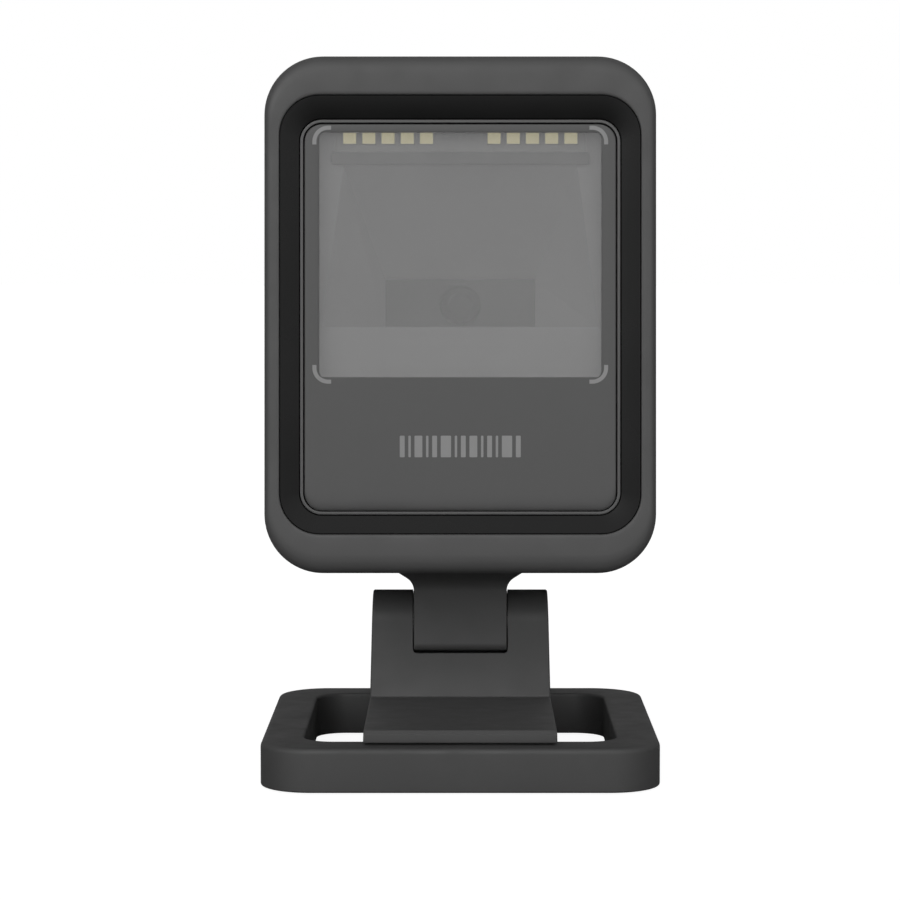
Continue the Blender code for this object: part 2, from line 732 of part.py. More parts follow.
def make_window_frame():
    """The carrier behind the face: a plate with an opening, and the thin rim that stands on it."""
    opening = (WINDOW_WIDTH + 0.8 * MM, WINDOW_HEIGHT + 0.8 * MM, WINDOW_CORNER + 0.4 * MM)
    bore = 2 * RIM_THICKNESS
    inner = (RIM_WIDTH - bore, RIM_HEIGHT - bore, RIM_CORNER - RIM_THICKNESS)
    rim = (RIM_WIDTH, RIM_HEIGHT, RIM_CORNER)
    plate = (HEAD_WIDTH - 2 * HEAD_WALL - 2 * 0.4 * MM, RING_HEIGHT + 6 * MM, RING_CORNER)
    edge = 0.2 * MM
    rings = [
        face_ring(*opening, CARRIER_FRONT, WINDOW_MIDDLE),
        face_ring(*inner, CARRIER_FRONT, RIM_MIDDLE),
        face_ring(*inner, RIM_FRONT, RIM_MIDDLE),
        face_ring(rim[0] - 2 * edge, rim[1] - 2 * edge, rim[2] - edge, RIM_FRONT, RIM_MIDDLE),
        face_ring(*rim, RIM_FRONT + edge, RIM_MIDDLE),
        face_ring(*rim, CARRIER_FRONT, RIM_MIDDLE),
        face_ring(*plate, CARRIER_FRONT, RING_MIDDLE),
        face_ring(*plate, CARRIER_BACK, RING_MIDDLE),
        face_ring(*opening, CARRIER_BACK, WINDOW_MIDDLE),
    ]
    return frame_solid("window_frame", rings)


def make_face_panel():
    opening = (WINDOW_WIDTH + 2 * GAP, WINDOW_HEIGHT + 2 * GAP, WINDOW_CORNER + GAP)
    panel = (PANEL_WIDTH, PANEL_HEIGHT, PANEL_CORNER)
    back = PANEL_FRONT + PANEL_THICKNESS
    edge = 0.3 * MM
    rings = [
        face_ring(*opening, PANEL_FRONT, WINDOW_MIDDLE),
        face_ring(panel[0] - 2 * edge, panel[1] - 2 * edge, panel[2] - edge, PANEL_FRONT, PANEL_MIDDLE),
        face_ring(*panel, PANEL_FRONT + edge, PANEL_MIDDLE),
        face_ring(*panel, back, PANEL_MIDDLE),
        face_ring(*opening, back, WINDOW_MIDDLE),
    ]
    return frame_solid("face_panel", rings)


def make_scan_window():
    """A clear pane that fills the plate's opening, with a flange behind the plate."""
    pane = (WINDOW_WIDTH, WINDOW_HEIGHT, WINDOW_CORNER)
    flange = [size + 2 * WINDOW_FLANGE for size in pane[:2]] + [WINDOW_CORNER + WINDOW_FLANGE]
    step = PANEL_FRONT + PANEL_THICKNESS + GAP
    rings = [
        face_ring(*pane, PANEL_FRONT, WINDOW_MIDDLE),
        face_ring(*pane, step, WINDOW_MIDDLE),
        face_ring(*flange, step, WINDOW_MIDDLE),
        face_ring(*flange, step + 1.0 * MM, WINDOW_MIDDLE),
    ]
    return loft("scan_window", rings)


def make_window_gasket():
    back = CARRIER_FRONT - GAP
    front = back - 0.5 * MM
    inner = (WINDOW_WIDTH + 0.8 * MM, WINDOW_HEIGHT + 0.8 * MM, WINDOW_CORNER + 0.4 * MM)
    outer = (WINDOW_WIDTH + 2.6 * MM, WINDOW_HEIGHT + 2.6 * MM, WINDOW_CORNER + 1.3 * MM)
    rings = [face_ring(*size, y, WINDOW_MIDDLE) for size, y in
             ((inner, front), (outer, front), (outer, back), (inner, back))]
    return frame_solid("window_gasket", rings)


# The reading chamber and what looks through it.

def chamber_section(y, wall):
    """The horn's outline at a depth, drawn out by wall; it narrows evenly from front to rear."""
    share = (y - CHAMBER_FRONT) / (CHAMBER_REAR - CHAMBER_FRONT)
    top = CHAMBER_CEILING + share * (CHAMBER_REAR_TOP - CHAMBER_CEILING) + wall
    top_half = CHAMBER_TOP_HALF + share * (CHAMBER_REAR_HALF - CHAMBER_TOP_HALF) + wall
    bottom_half = CHAMBER_BOTTOM_HALF + share * (CHAMBER_REAR_HALF - CHAMBER_BOTTOM_HALF) + wall
    bottom = CHAMBER_FLOOR - wall
    return [(top_half, y, top), (-top_half, y, top), (-bottom_half, y, bottom), (bottom_half, y, bottom)]


def make_optics_chamber():
    """A horn behind the window, with a front plate above and below and a cradle for the mirror."""
    front = CHAMBER_FRONT + 0.6 * MM
    chamber = loft("optics_chamber", [chamber_section(front, CHAMBER_WALL),
                                      chamber_section(CHAMBER_REAR, CHAMBER_WALL)])
    half = CHAMBER_REAR_HALF + 0.6 * MM
    cheek = 1.4 * MM
    end = -9.5 * MM
    top = CHAMBER_REAR_TOP + 2 * MM
    cradle = block("mirror_cradle", (-half - cheek, CHAMBER_REAR - 1.5 * MM, CHAMBER_FLOOR - 1.5 * MM),
                   (half + cheek, end, top))
    combine(chamber, [chamber_plate(), cradle], "UNION")
    bay = block("mirror_bay", (-half, CHAMBER_REAR + 0.2 * MM, CHAMBER_FLOOR - 0.2 * MM),
                (half, end + 5 * MM, top + 5 * MM))
    horn = loft("horn_cavity", [chamber_section(CHAMBER_FRONT - 1 * MM, 0.0),
                                chamber_section(CHAMBER_REAR + 0.5 * MM, 0.0)])
    eye = rod("lens_eye", LENS_RADIUS + 0.5 * MM, 55 * MM, 65 * MM, "Z", (0.0, LENS_Y))
    half = LED_FIRST_X + (LEDS_EACH_SIDE - 1) * LED_PITCH + 3 * MM
    slot = block("led_slot", (-half, -50 * MM, 98.4 * MM), (half, -42 * MM, 102.9 * MM))
    combine(chamber, [bay, horn, eye, slot], "DIFFERENCE")
    return chamber


def chamber_plate():
    width = WINDOW_WIDTH + 6 * MM
    height = WINDOW_HEIGHT + 5 * MM
    outline = [(x, z + WINDOW_MIDDLE) for x, z in rounded_outline(width, height, 2 * MM, 3)]
    return prism("chamber_plate", outline, CHAMBER_FRONT, CHAMBER_FRONT + 1.2 * MM, "Y")


def make_fold_mirror():
    """A mirror at 45 degrees that turns the upward view of the lens out through the window."""
    length = 15.2 * MM
    half = CHAMBER_REAR_HALF + 0.2 * MM
    mirror = block("fold_mirror", (-half, -0.75 * MM, -length / 2), (half, 0.75 * MM, length / 2))
    turn = Matrix.Rotation(math.radians(45), 4, "X")
    centre = Vector((0.0, LENS_Y + 0.6 * MM, CHAMBER_FLOOR + 6.6 * MM))
    mirror.data.transform(Matrix.Translation(centre) @ turn)
    return mirror


def make_lamp_baffle():
    """A bar under the LEDs that keeps their light off the chamber's opening."""
    front = CHAMBER_FRONT - GAP - BAFFLE_THICKNESS
    outline = [(x, z + BAFFLE_MIDDLE) for x, z in rounded_outline(BAFFLE_WIDTH, BAFFLE_HEIGHT, 0.6 * MM, 3)]
    return prism("lamp_baffle", outline, front, front + BAFFLE_THICKNESS, "Y")


def make_led_board():
    half = LED_FIRST_X + (LEDS_EACH_SIDE - 1) * LED_PITCH + 4 * MM
    front = CHAMBER_FRONT + 1.5 * MM
    return block("led_board", (-half, front, 98.2 * MM), (half, front + 1 * MM, 103.4 * MM))


def make_leds():
    board_front = CHAMBER_FRONT + 1.5 * MM
    leds = []
    for side, sign in (("left", -1), ("right", 1)):
        for number in range(LEDS_EACH_SIDE):
            x = sign * (LED_FIRST_X + number * LED_PITCH)
            low = (x - LED_WIDTH / 2, board_front - GAP - LED_THICKNESS, LED_ROW_Z - LED_HEIGHT / 2)
            high = (x + LED_WIDTH / 2, board_front - GAP, LED_ROW_Z + LED_HEIGHT / 2)
            leds.append(block(f"led_{side}_{number + 1}", low, high))
    return leds


def make_imager_housing():
    housing = block("imager_housing", (-9 * MM, -27 * MM, 45.3 * MM), (9 * MM, -9 * MM, 58 * MM))
    bevel(housing, 0.6 * MM)
    tools = [rod("lens_bore", LENS_RADIUS + GAP, 44 * MM, 60 * MM, "Z", (0.0, LENS_Y))]
    for side, x in imager_screw_places():
        tools.append(rod(f"housing_hole_{side}", 1.2 * MM, 44 * MM, 51 * MM, "Z", (x, -24 * MM)))
    combine(housing, tools, "DIFFERENCE")
    return housing


def imager_screw_places():
    return [("left", -6.3 * MM), ("right", 6.3 * MM)]


def make_lens_barrel():
    place = (0.0, LENS_Y)
    profile = [(LENS_RADIUS, 48 * MM), (LENS_RADIUS, 60.9 * MM)]
    return turned("lens_barrel", profile, "Z", place, bore=2.8 * MM)


def make_lens_glass():
    """A lens with a rounded front, inside the barrel's mouth."""
    radius = 2.5 * MM
    profile = [(radius, 57 * MM), (radius, 59 * MM), (0.7 * radius, 59.7 * MM), (0.2 * radius, 59.95 * MM)]
    return turned("lens_glass", profile, "Z", (0.0, LENS_Y), segments=16)


def make_imager_board():
    board = block("imager_board", (-12 * MM, -29 * MM, 43.6 * MM), (12 * MM, -7 * MM, 45 * MM))
    holes = []
    for side, x in imager_screw_places():
        holes.append(rod(f"board_hole_{side}", 1.2 * MM, 42 * MM, 46 * MM, "Z", (x, -24 * MM)))
    combine(board, holes, "DIFFERENCE")
    return board


def make_image_sensor():
    low = (-2.7 * MM, LENS_Y - 2 * MM, 45.3 * MM)
    high = (2.7 * MM, LENS_Y + 2 * MM, 46.3 * MM)
    return block("image_sensor", low, high)


def make_imager_screws():
    screws = []
    for side, x in imager_screw_places():
        profile = [
            (1.8 * MM, 42.2 * MM),
            (1.8 * MM, 43.3 * MM),
            (0.9 * MM, 43.3 * MM),
            (0.9 * MM, 50 * MM),
        ]
        screws.append(turned(f"imager_screw_{side}", profile, "Z", (x, -24 * MM), segments=16))
    return screws


def make_imager_ribbon():
    """A flat flexible cable from the main board to the imager's board, drooping in between."""
    start = (MAIN_BOARD_FRONT + BOARD_THICKNESS + GAP, 36 * MM)
    thickness = 0.3 * MM
    lower = arc_points((start[0] + 5 * MM, start[1]), 5 * MM, 180, 270, 6)
    lower += arc_points((-28 * MM, start[1] + 1 * MM), 6 * MM, 270, 360, 6)
    lower.append((-22 * MM, 43.3 * MM))
    upper = [(-22 * MM - thickness, 43.3 * MM)]
    upper += arc_points((-28 * MM, start[1] + 1 * MM), 6 * MM - thickness, 360, 270, 6)
    upper += arc_points((start[0] + 5 * MM, start[1]), 5 * MM - thickness, 270, 180, 6)
    return prism("imager_ribbon", lower + upper, -4 * MM, 4 * MM, "X")


# The boards and the cable inlet.

def make_main_board():
    low = (-25 * MM, MAIN_BOARD_FRONT, 17.5 * MM)
    high = (25 * MM, MAIN_BOARD_FRONT + BOARD_THICKNESS, 60 * MM)
    return block("main_board", low, high)


def make_processor_shield():
    front = MAIN_BOARD_FRONT + BOARD_THICKNESS + GAP
    shield = block("processor_shield", (-11 * MM, front, 43 * MM), (11 * MM, front + 2.4 * MM, 58 * MM))
    bevel(shield, 0.4 * MM)
    return shield


def make_beeper():
    front = MAIN_BOARD_FRONT + BOARD_THICKNESS + GAP
    profile = [(6 * MM, front), (6 * MM, front + 6.6 * MM), (5.4 * MM, front + 7.2 * MM)]
    return turned("beeper", profile, "Y", (-16.5 * MM, 29 * MM))


def make_inlet_board():
    top = SOCKET_FLOOR - GAP
    return block("inlet_board", (-14 * MM, -12 * MM, top - BOARD_THICKNESS), (14 * MM, 7.6 * MM, top))


def make_cable_socket():
    """A modular jack with the cavity for the cable's plug open to the rear."""
    half = SOCKET_WIDTH / 2
    socket = block("cable_socket", (-half, SOCKET_FRONT, SOCKET_FLOOR), (half, SOCKET_BACK, SOCKET_TOP))
    plug_half = PLUG_WIDTH / 2
    mouth = SOCKET_BACK - PLUG_DEPTH
    cavity = block("plug_cavity", (-plug_half, mouth, PLUG_BOTTOM), (plug_half, 20 * MM, PLUG_TOP))
    latch = block("latch_groove", (-1.6 * MM, mouth, 21 * MM), (1.6 * MM, 20 * MM, PLUG_BOTTOM + GAP))
    combine(socket, [cavity, latch], "DIFFERENCE")
    return socket


def build_head(materials, frame):
    groups = {
        "shell_plastic": [make_front_bezel(), make_rear_cover()],
        "ring_plastic": [make_light_ring()],
        "panel_plastic": [make_window_frame(), make_face_panel()],
        "window_glass": [make_scan_window()],
        "rubber": [make_window_gasket()],
        "chamber_plastic": [make_optics_chamber(), make_lamp_baffle()],
        "mirror_glass": [make_fold_mirror()],
        "board_laminate": [make_led_board(), make_imager_board(), make_main_board(), make_inlet_board()],
        "led_resin": make_leds(),
        "black_plastic": [make_imager_housing(), make_lens_barrel(), make_beeper(), make_cable_socket()],
        "clear_glass": [make_lens_glass()],
        "silicon": [make_image_sensor()],
        "flex_film": [make_imager_ribbon()],
        "plated_steel": make_cover_screws() + make_imager_screws() + [make_processor_shield()],
    }
    for finish, pieces in groups.items():
        dress(pieces, frame, materials[finish])
        for piece in pieces:
            parent_tools(piece)


def build_neck(materials, frame):
    neck = make_neck()
    dress([neck], frame, materials["stand_plastic"])
    parent_tools(neck)
    dress(make_neck_screws(), frame, materials["plated_steel"])


def main():
    clear_scene()
    materials = make_materials()
    build_stand(materials)
    tilt_axis = add_empty("head_tilt_axis", (0.0, HINGE_Y, HINGE_Z), -LEAN_BACK)
    build_neck(materials, tilt_axis)
    head_frame = add_empty("head_frame", (0.0, HEAD_BEHIND_HINGE, -HEAD_BELOW_HINGE), parent=tilt_axis)
    build_head(materials, head_frame)


main()
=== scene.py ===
import json
import math

import bmesh
import bpy
import numpy as np
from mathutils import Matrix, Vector


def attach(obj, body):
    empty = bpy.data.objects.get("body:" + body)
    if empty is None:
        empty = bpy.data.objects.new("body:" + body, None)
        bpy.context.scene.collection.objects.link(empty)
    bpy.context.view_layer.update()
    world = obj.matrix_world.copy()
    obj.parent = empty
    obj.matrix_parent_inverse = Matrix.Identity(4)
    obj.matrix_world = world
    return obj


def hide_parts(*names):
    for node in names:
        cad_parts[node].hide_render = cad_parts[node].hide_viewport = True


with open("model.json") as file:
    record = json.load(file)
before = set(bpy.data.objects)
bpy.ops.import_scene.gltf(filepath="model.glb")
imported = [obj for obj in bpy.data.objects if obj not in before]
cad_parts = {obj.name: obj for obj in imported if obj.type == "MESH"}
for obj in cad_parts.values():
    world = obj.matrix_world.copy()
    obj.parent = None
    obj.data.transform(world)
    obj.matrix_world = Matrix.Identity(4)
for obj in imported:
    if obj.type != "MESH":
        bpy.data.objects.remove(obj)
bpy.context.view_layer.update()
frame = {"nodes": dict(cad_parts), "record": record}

mm = 0.001
tiltJoint = frame["record"]["behaviour"]["joints"][0]
hinge = np.array(tiltJoint["pos_m"])
leanBack = math.radians(3.96)  # how far the head leans back at rest
behindHinge, belowHinge = 6.5, 0.15  # where the head's origin lies, seen from the hinge

# the head's own axes: y towards its back, z up its face
headTurn = np.array([
    [1, 0, 0],
    [0, math.cos(leanBack), math.sin(leanBack)],
    [0, -math.sin(leanBack), math.cos(leanBack)],
])


def neckToWorld(points):
    # turn about the hinge by the rest lean, then move to the hinge
    return points @ headTurn.T + hinge


def headToWorld(points):
    # from the head's own frame, behind and just below the hinge, to the world
    return neckToWorld(points + np.array([0, behindHinge, -belowHinge]) * mm)


def gridFaces(rows, columns, wrapRows):
    # quads between neighbouring rows and columns of a grid of points; columns always wrap
    r = np.arange(rows if wrapRows else rows - 1).reshape(-1, 1)
    c = np.arange(columns).reshape(1, -1)
    r2 = (r + 1) % rows
    c2 = (c + 1) % columns
    quads = [r * columns + c, r * columns + c2, r2 * columns + c2, r2 * columns + c]
    return np.stack([q.ravel() for q in quads], axis=1)


def cleanMesh(mesh, smoothAngle):
    # doubled points at poles and sharp corners are joined, then every face is turned outwards
    bm = bmesh.new()
    bm.from_mesh(mesh)
    bmesh.ops.remove_doubles(bm, verts=bm.verts, dist=2e-6)
    bmesh.ops.dissolve_degenerate(bm, edges=bm.edges, dist=1e-6)
    bmesh.ops.recalc_face_normals(bm, faces=bm.faces)
    bm.to_mesh(mesh)
    bm.free()
    mesh.shade_smooth()
    mesh.set_sharp_from_angle(angle=math.radians(smoothAngle))


def surface(name, points, wrapRows=False, caps=False, smoothAngle=32):
    # points is rows x columns x 3; caps close the first and last rows
    rows, columns = points.shape[:2]
    faces = gridFaces(rows, columns, wrapRows).tolist()
    if caps:
        faces.append(list(range(columns)))
        faces.append(list(range((rows - 1) * columns, rows * columns)))
    mesh = bpy.data.meshes.new(name)
    mesh.from_pydata(points.reshape(-1, 3).tolist(), [], faces)
    mesh.validate()
    cleanMesh(mesh, smoothAngle)
    obj = bpy.data.objects.new(name, mesh)
    bpy.context.collection.objects.link(obj)
    return obj


def eased(stations, steps=6, closed=True):
    # each row is width, height, corner, middle, depth and easing; a corner of the
    # profile becomes a short quadratic curve that starts and ends one easing away from it
    here = np.array(stations, float)
    ease = here[:, 5:]
    here = here[:, :5]
    before = np.roll(here, 1, 0)
    after = np.roll(here, -1, 0)
    if not closed:
        before[0], after[-1] = here[0], here[-1]

    def reached(other):
        gap = other - here
        length = np.hypot(gap[:, :1] / 2, gap[:, 4:])
        share = np.minimum(ease / np.maximum(length, 1e-9), 0.49)
        return here + gap * share

    t = np.linspace(0, 1, steps).reshape(1, -1, 1)
    first, last = reached(before)[:, None], reached(after)[:, None]
    curve = (1 - t) ** 2 * first + 2 * t * (1 - t) * here[:, None] + t ** 2 * last
    return curve.reshape(-1, 5)


def loops(width, height, corner, middle, perCorner=12):
    # rounded rectangles, one to a row: quarter circles about four corner centres
    quarter = np.repeat(np.arange(4), perCorner)
    turn = (quarter + np.tile(np.linspace(0, 1, perCorner), 4)) * math.pi / 2
    sideX = np.array([1, -1, -1, 1])[quarter]
    sideZ = np.array([1, 1, -1, -1])[quarter]
    w, h, r, m = (np.asarray(v, float).reshape(-1, 1) for v in (width, height, corner, middle))
    x = sideX * (w / 2 - r) + r * np.cos(turn)
    z = sideZ * (h / 2 - r) + r * np.sin(turn) + m
    return x, z


def faceSurface(name, stations, closed=True, perCorner=12):
    # rounded rectangles facing forwards, joined through the head's depth
    rows = eased(stations, closed=closed) * mm
    x, z = loops(*rows[:, :4].T, perCorner)
    y = rows[:, 4:] + 0 * x
    points = headToWorld(np.stack([x, y, z], axis=-1))
    return surface(name, points, wrapRows=closed, caps=not closed)


def turnedPoints(profile, centre, along, turns=48):
    # a profile of radius and place carried round an axis through centre
    profile = np.array(profile, float) * mm
    angle = np.linspace(0, 2 * math.pi, turns, endpoint=False)
    a = profile[:, :1] * np.cos(angle)
    b = profile[:, :1] * np.sin(angle)
    level = profile[:, 1:] + 0 * a
    cu, cv = centre[0] * mm, centre[1] * mm
    if along == "x":
        return np.stack([level, a + cu, b + cv], axis=-1)
    if along == "y":
        return np.stack([a + cu, level, b + cv], axis=-1)
    return np.stack([a + cu, b + cv, level], axis=-1)


def prismPoints(outline, low, high):
    # an outline in y and z pushed along x
    outline = np.array(outline, float) * mm
    x = np.array([low, high]).reshape(-1, 1) * mm + 0 * outline[:, 0]
    y = outline[:, 0] + 0 * x
    z = outline[:, 1] + 0 * x
    return np.stack([x, y, z], axis=-1)


def boxPoints(low, high):
    # the box between two opposite corners
    outline = [(low[1], low[2]), (high[1], low[2]), (high[1], high[2]), (low[1], high[2])]
    return prismPoints(outline, low[0], high[0])


def arc(centre, radius, start, end, steps):
    # points along part of a circle, from start to end in degrees
    angle = np.radians(np.linspace(start, end, steps))
    return np.stack([centre[0] + radius * np.cos(angle), centre[1] + radius * np.sin(angle)], axis=1)


def bake(obj):
    # a piece's modifiers are applied, so that its mesh is final
    depsgraph = bpy.context.evaluated_depsgraph_get()
    mesh = bpy.data.meshes.new_from_object(obj.evaluated_get(depsgraph))
    old = obj.data
    obj.modifiers.clear()
    obj.data = mesh
    mesh.name = obj.name
    bpy.data.meshes.remove(old)
    cleanMesh(mesh, 32)


def carve(obj, tools, how="DIFFERENCE"):
    # each tool is cut out of the piece, or added to it, and then thrown away
    for tool in tools:
        cut = obj.modifiers.new("cut", "BOOLEAN")
        cut.object = tool
        cut.operation = how
        cut.solver = "EXACT"
    bpy.context.view_layer.update()
    bake(obj)
    for tool in tools:
        bpy.data.objects.remove(tool)


def soften(obj, width):
    # the moulding's sharp edges get a small radius
    edge = obj.modifiers.new("edges", "BEVEL")
    edge.width = width * mm
    edge.segments = 3
    edge.limit_method = "ANGLE"
    edge.angle_limit = math.radians(50)
    edge.use_clamp_overlap = True
    bpy.context.view_layer.update()
    bake(obj)


def settle(obj, body, material, nodes=()):
    # a piece gets its finish, moves with its body and stands in for the solids it covers
    obj.data.materials.clear()
    obj.data.materials.append(material)
    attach(obj, body)
    if nodes:
        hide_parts(*nodes)


def linear(hexColour):
    # an sRGB hex colour as the linear values that Blender mixes
    parts = [int(hexColour[k:k + 2], 16) / 255 for k in (1, 3, 5)]
    return tuple(p / 12.92 if p <= 0.04045 else ((p + 0.055) / 1.055) ** 2.4 for p in parts) + (1.0,)


def newMaterial(name):
    # an empty finish with its node tree and its shader
    material = bpy.data.materials.new(name)
    material.use_nodes = True
    tree = material.node_tree
    return material, tree, tree.nodes["Principled BSDF"]


def addNode(tree, kind, links=None, sockets=None, stops=None, **settings):
    # links are sockets fed by others, sockets are fixed numbers, stops are a ramp's two ends
    node = tree.nodes.new(kind)
    for key, value in settings.items():
        setattr(node, key, value)
    for key, value in (sockets or {}).items():
        node.inputs[key].default_value = value
    for number, (place, colour) in enumerate(stops or []):
        node.color_ramp.elements[number].position = place
        node.color_ramp.elements[number].color = colour
    for key, source in (links or {}).items():
        tree.links.new(source, node.inputs[key])
    return node


def scaled(colour, factor):
    # a lighter or darker tone of a colour
    return tuple(min(1.0, c * factor) for c in colour[:3]) + (1.0,)


# where a noise pattern's useful middle part begins and ends
noiseLow, noiseHigh = 0.3, 0.7

# spark-eroded moulding: a fine pebbled skin, with slow drifts where the melt cooled unevenly;
# hex is the tone, rough the range of gloss, grain and height the pebbles' size in mm
mouldedSkins = {
    # charcoal ABS with a spark-eroded skin: dull, soft highlights that hide small scratches
    "shellAbs": dict(hex="#484848", rough=(0.46, 0.58), grain=0.22, height=0.012, drift=0.03),
    # the same ABS on the stand and the neck: flat and even, a touch drier
    "standAbs": dict(hex="#474747", rough=(0.48, 0.60), grain=0.22, height=0.012, drift=0.04),
    # the lamps' screen: a plain dark grey bar, its darkness painted shade for the strip of shadow under the
    # lamps' board
    "shadeStripAbs": dict(hex="#484848", rough=(0.50, 0.60), grain=0.40, height=0.004, drift=0.03),
    # light grey ABS of the reading chamber: scatters the lamps' light without glare
    "chamberAbs": dict(hex="#9a9a9a", rough=(0.55, 0.65), grain=0.60, height=0.0005, drift=0.03),
    # glass-filled nylon: near black, with a slight sheen
    "blackNylon": dict(hex="#1f1f1f", rough=(0.42, 0.56), grain=0.25, height=0.010, drift=0.05),
    # powder-coated zinc casting: coarser orange-peel skin that breaks its highlights
    "powderCoatedZinc": dict(hex="#3e3e3e", rough=(0.48, 0.62), grain=0.30, height=0.014, drift=0.04),
    # rubber of the feet and the gasket: matt, drinks the light
    "padRubber": dict(hex="#232323", rough=(0.78, 0.92), grain=0.40, height=0.030, drift=0.10),
}
mouldedIor = 1.50


def mouldedSkin(name):
    skin = mouldedSkins[name]
    material, tree, shader = newMaterial(name)
    place = addNode(tree, "ShaderNodeTexCoord").outputs["Object"]
    # one pebble of the skin is about as wide as its grain
    pebbles = addNode(tree, "ShaderNodeTexNoise", {"Vector": place},
                      {"Scale": 1 / (skin["grain"] * mm), "Detail": 3.0, "Roughness": 0.55})
    # slow drifts of tone over 22 mm, and patches rubbed by handling every 6 mm
    patches = addNode(tree, "ShaderNodeTexNoise", {"Vector": place}, {"Scale": 1 / (22 * mm), "Detail": 2.0})
    rubbed = addNode(tree, "ShaderNodeTexNoise", {"Vector": place}, {"Scale": 1 / (6 * mm), "Detail": 4.0})
    colour = linear(skin["hex"])
    tone = addNode(tree, "ShaderNodeValToRGB", {"Fac": patches.outputs["Fac"]},
                   stops=[(noiseLow, scaled(colour, 1 - skin["drift"])),
                          (noiseHigh, scaled(colour, 1 + skin["drift"]))])
    gloss = addNode(tree, "ShaderNodeMapRange", {"Value": rubbed.outputs["Fac"]},
                    {"From Min": noiseLow, "From Max": noiseHigh, "To Min": skin["rough"][0],
                     "To Max": skin["rough"][1]})
    bump = addNode(tree, "ShaderNodeBump", {"Height": pebbles.outputs["Fac"]},
                   {"Strength": 0.35, "Distance": skin["height"] * mm})
    tree.links.new(tone.outputs["Color"], shader.inputs["Base Color"])
    tree.links.new(gloss.outputs["Result"], shader.inputs["Roughness"])
    tree.links.new(bump.outputs["Normal"], shader.inputs["Normal"])
    shader.inputs["IOR"].default_value = mouldedIor
    return material


def polished(name, hexColour, rough, ior, smear=18, **fixed):
    # a polished moulding, film or pane: smooth, with faint handling smears in its gloss;
    # smear is the smears' size in mm, fixed are more of the shader's own sockets
    material, tree, shader = newMaterial(name)
    place = addNode(tree, "ShaderNodeTexCoord").outputs["Object"]
    smears = addNode(tree, "ShaderNodeTexNoise", {"Vector": place},
                     {"Scale": 1 / (smear * mm), "Detail": 5.0, "Roughness": 0.6})
    fine = addNode(tree, "ShaderNodeTexNoise", {"Vector": place}, {"Scale": 1 / (1.4 * mm), "Detail": 2.0})
    colour = linear(hexColour)
    tone = addNode(tree, "ShaderNodeValToRGB", {"Fac": smears.outputs["Fac"]},
                   stops=[(noiseLow, scaled(colour, 0.94)), (noiseHigh, scaled(colour, 1.06))])
    gloss = addNode(tree, "ShaderNodeMapRange", {"Value": smears.outputs["Fac"]},
                    {"From Min": noiseLow, "From Max": noiseHigh, "To Min": rough[0], "To Max": rough[1]})
    bump = addNode(tree, "ShaderNodeBump", {"Height": fine.outputs["Fac"]},
                   {"Strength": 0.08, "Distance": 0.01 * mm})
    tree.links.new(tone.outputs["Color"], shader.inputs["Base Color"])
    tree.links.new(gloss.outputs["Result"], shader.inputs["Roughness"])
    tree.links.new(bump.outputs["Normal"], shader.inputs["Normal"])
    shader.inputs["IOR"].default_value = ior
    for socket, value in fixed.items():
        shader.inputs[socket].default_value = value
    return material


def platedMetal(name, hexColour, rough):
    # turned and plated: fine rings in the finish and slightly uneven brightness
    material, tree, shader = newMaterial(name)
    place = addNode(tree, "ShaderNodeTexCoord").outputs["Object"]
    rings = addNode(tree, "ShaderNodeTexNoise", {"Vector": place}, {"Scale": 1 / (0.35 * mm), "Detail": 4.0})
    cloud = addNode(tree, "ShaderNodeTexNoise", {"Vector": place}, {"Scale": 1 / (3 * mm), "Detail": 2.0})
    colour = linear(hexColour)
    tone = addNode(tree, "ShaderNodeValToRGB", {"Fac": cloud.outputs["Fac"]},
                   stops=[(noiseLow, scaled(colour, 0.88)), (noiseHigh, colour)])
    gloss = addNode(tree, "ShaderNodeMapRange", {"Value": rings.outputs["Fac"]},
                    {"From Min": noiseLow, "From Max": noiseHigh, "To Min": rough[0], "To Max": rough[1]})
    bump = addNode(tree, "ShaderNodeBump", {"Height": rings.outputs["Fac"]},
                   {"Strength": 0.2, "Distance": 0.01 * mm})
    tree.links.new(tone.outputs["Color"], shader.inputs["Base Color"])
    tree.links.new(gloss.outputs["Result"], shader.inputs["Roughness"])
    tree.links.new(bump.outputs["Normal"], shader.inputs["Normal"])
    shader.inputs["Metallic"].default_value = 1.0
    return material


def boardLaminate(name, ground, patch, track):
    # glass-epoxy board under coloured resist: tracks show as slightly lighter, raised lines
    material, tree, shader = newMaterial(name)
    place = addNode(tree, "ShaderNodeTexCoord").outputs["Object"]
    tracks = addNode(tree, "ShaderNodeTexBrick", {"Vector": place},
                     {"Scale": 1 / (9 * mm), "Mortar Size": 0.035, "Color1": linear(ground),
                      "Color2": linear(patch), "Mortar": linear(track)}, offset=0.37)
    weave = addNode(tree, "ShaderNodeTexNoise", {"Vector": place}, {"Scale": 1 / (0.5 * mm), "Detail": 2.0})
    gloss = addNode(tree, "ShaderNodeMapRange", {"Value": weave.outputs["Fac"]},
                    {"From Min": noiseLow, "From Max": noiseHigh, "To Min": 0.32, "To Max": 0.5})
    bump = addNode(tree, "ShaderNodeBump", {"Height": tracks.outputs["Fac"]},
                   {"Strength": 0.3, "Distance": 0.03 * mm})
    tree.links.new(tracks.outputs["Color"], shader.inputs["Base Color"])
    tree.links.new(gloss.outputs["Result"], shader.inputs["Roughness"])
    tree.links.new(bump.outputs["Normal"], shader.inputs["Normal"])
    return material


shellAbs = mouldedSkin("shellAbs")
standAbs = mouldedSkin("standAbs")
chamberAbs = mouldedSkin("chamberAbs")
shadeStripAbs = mouldedSkin("shadeStripAbs")
blackNylon = mouldedSkin("blackNylon")
powderCoatedZinc = mouldedSkin("powderCoatedZinc")
padRubber = mouldedSkin("padRubber")
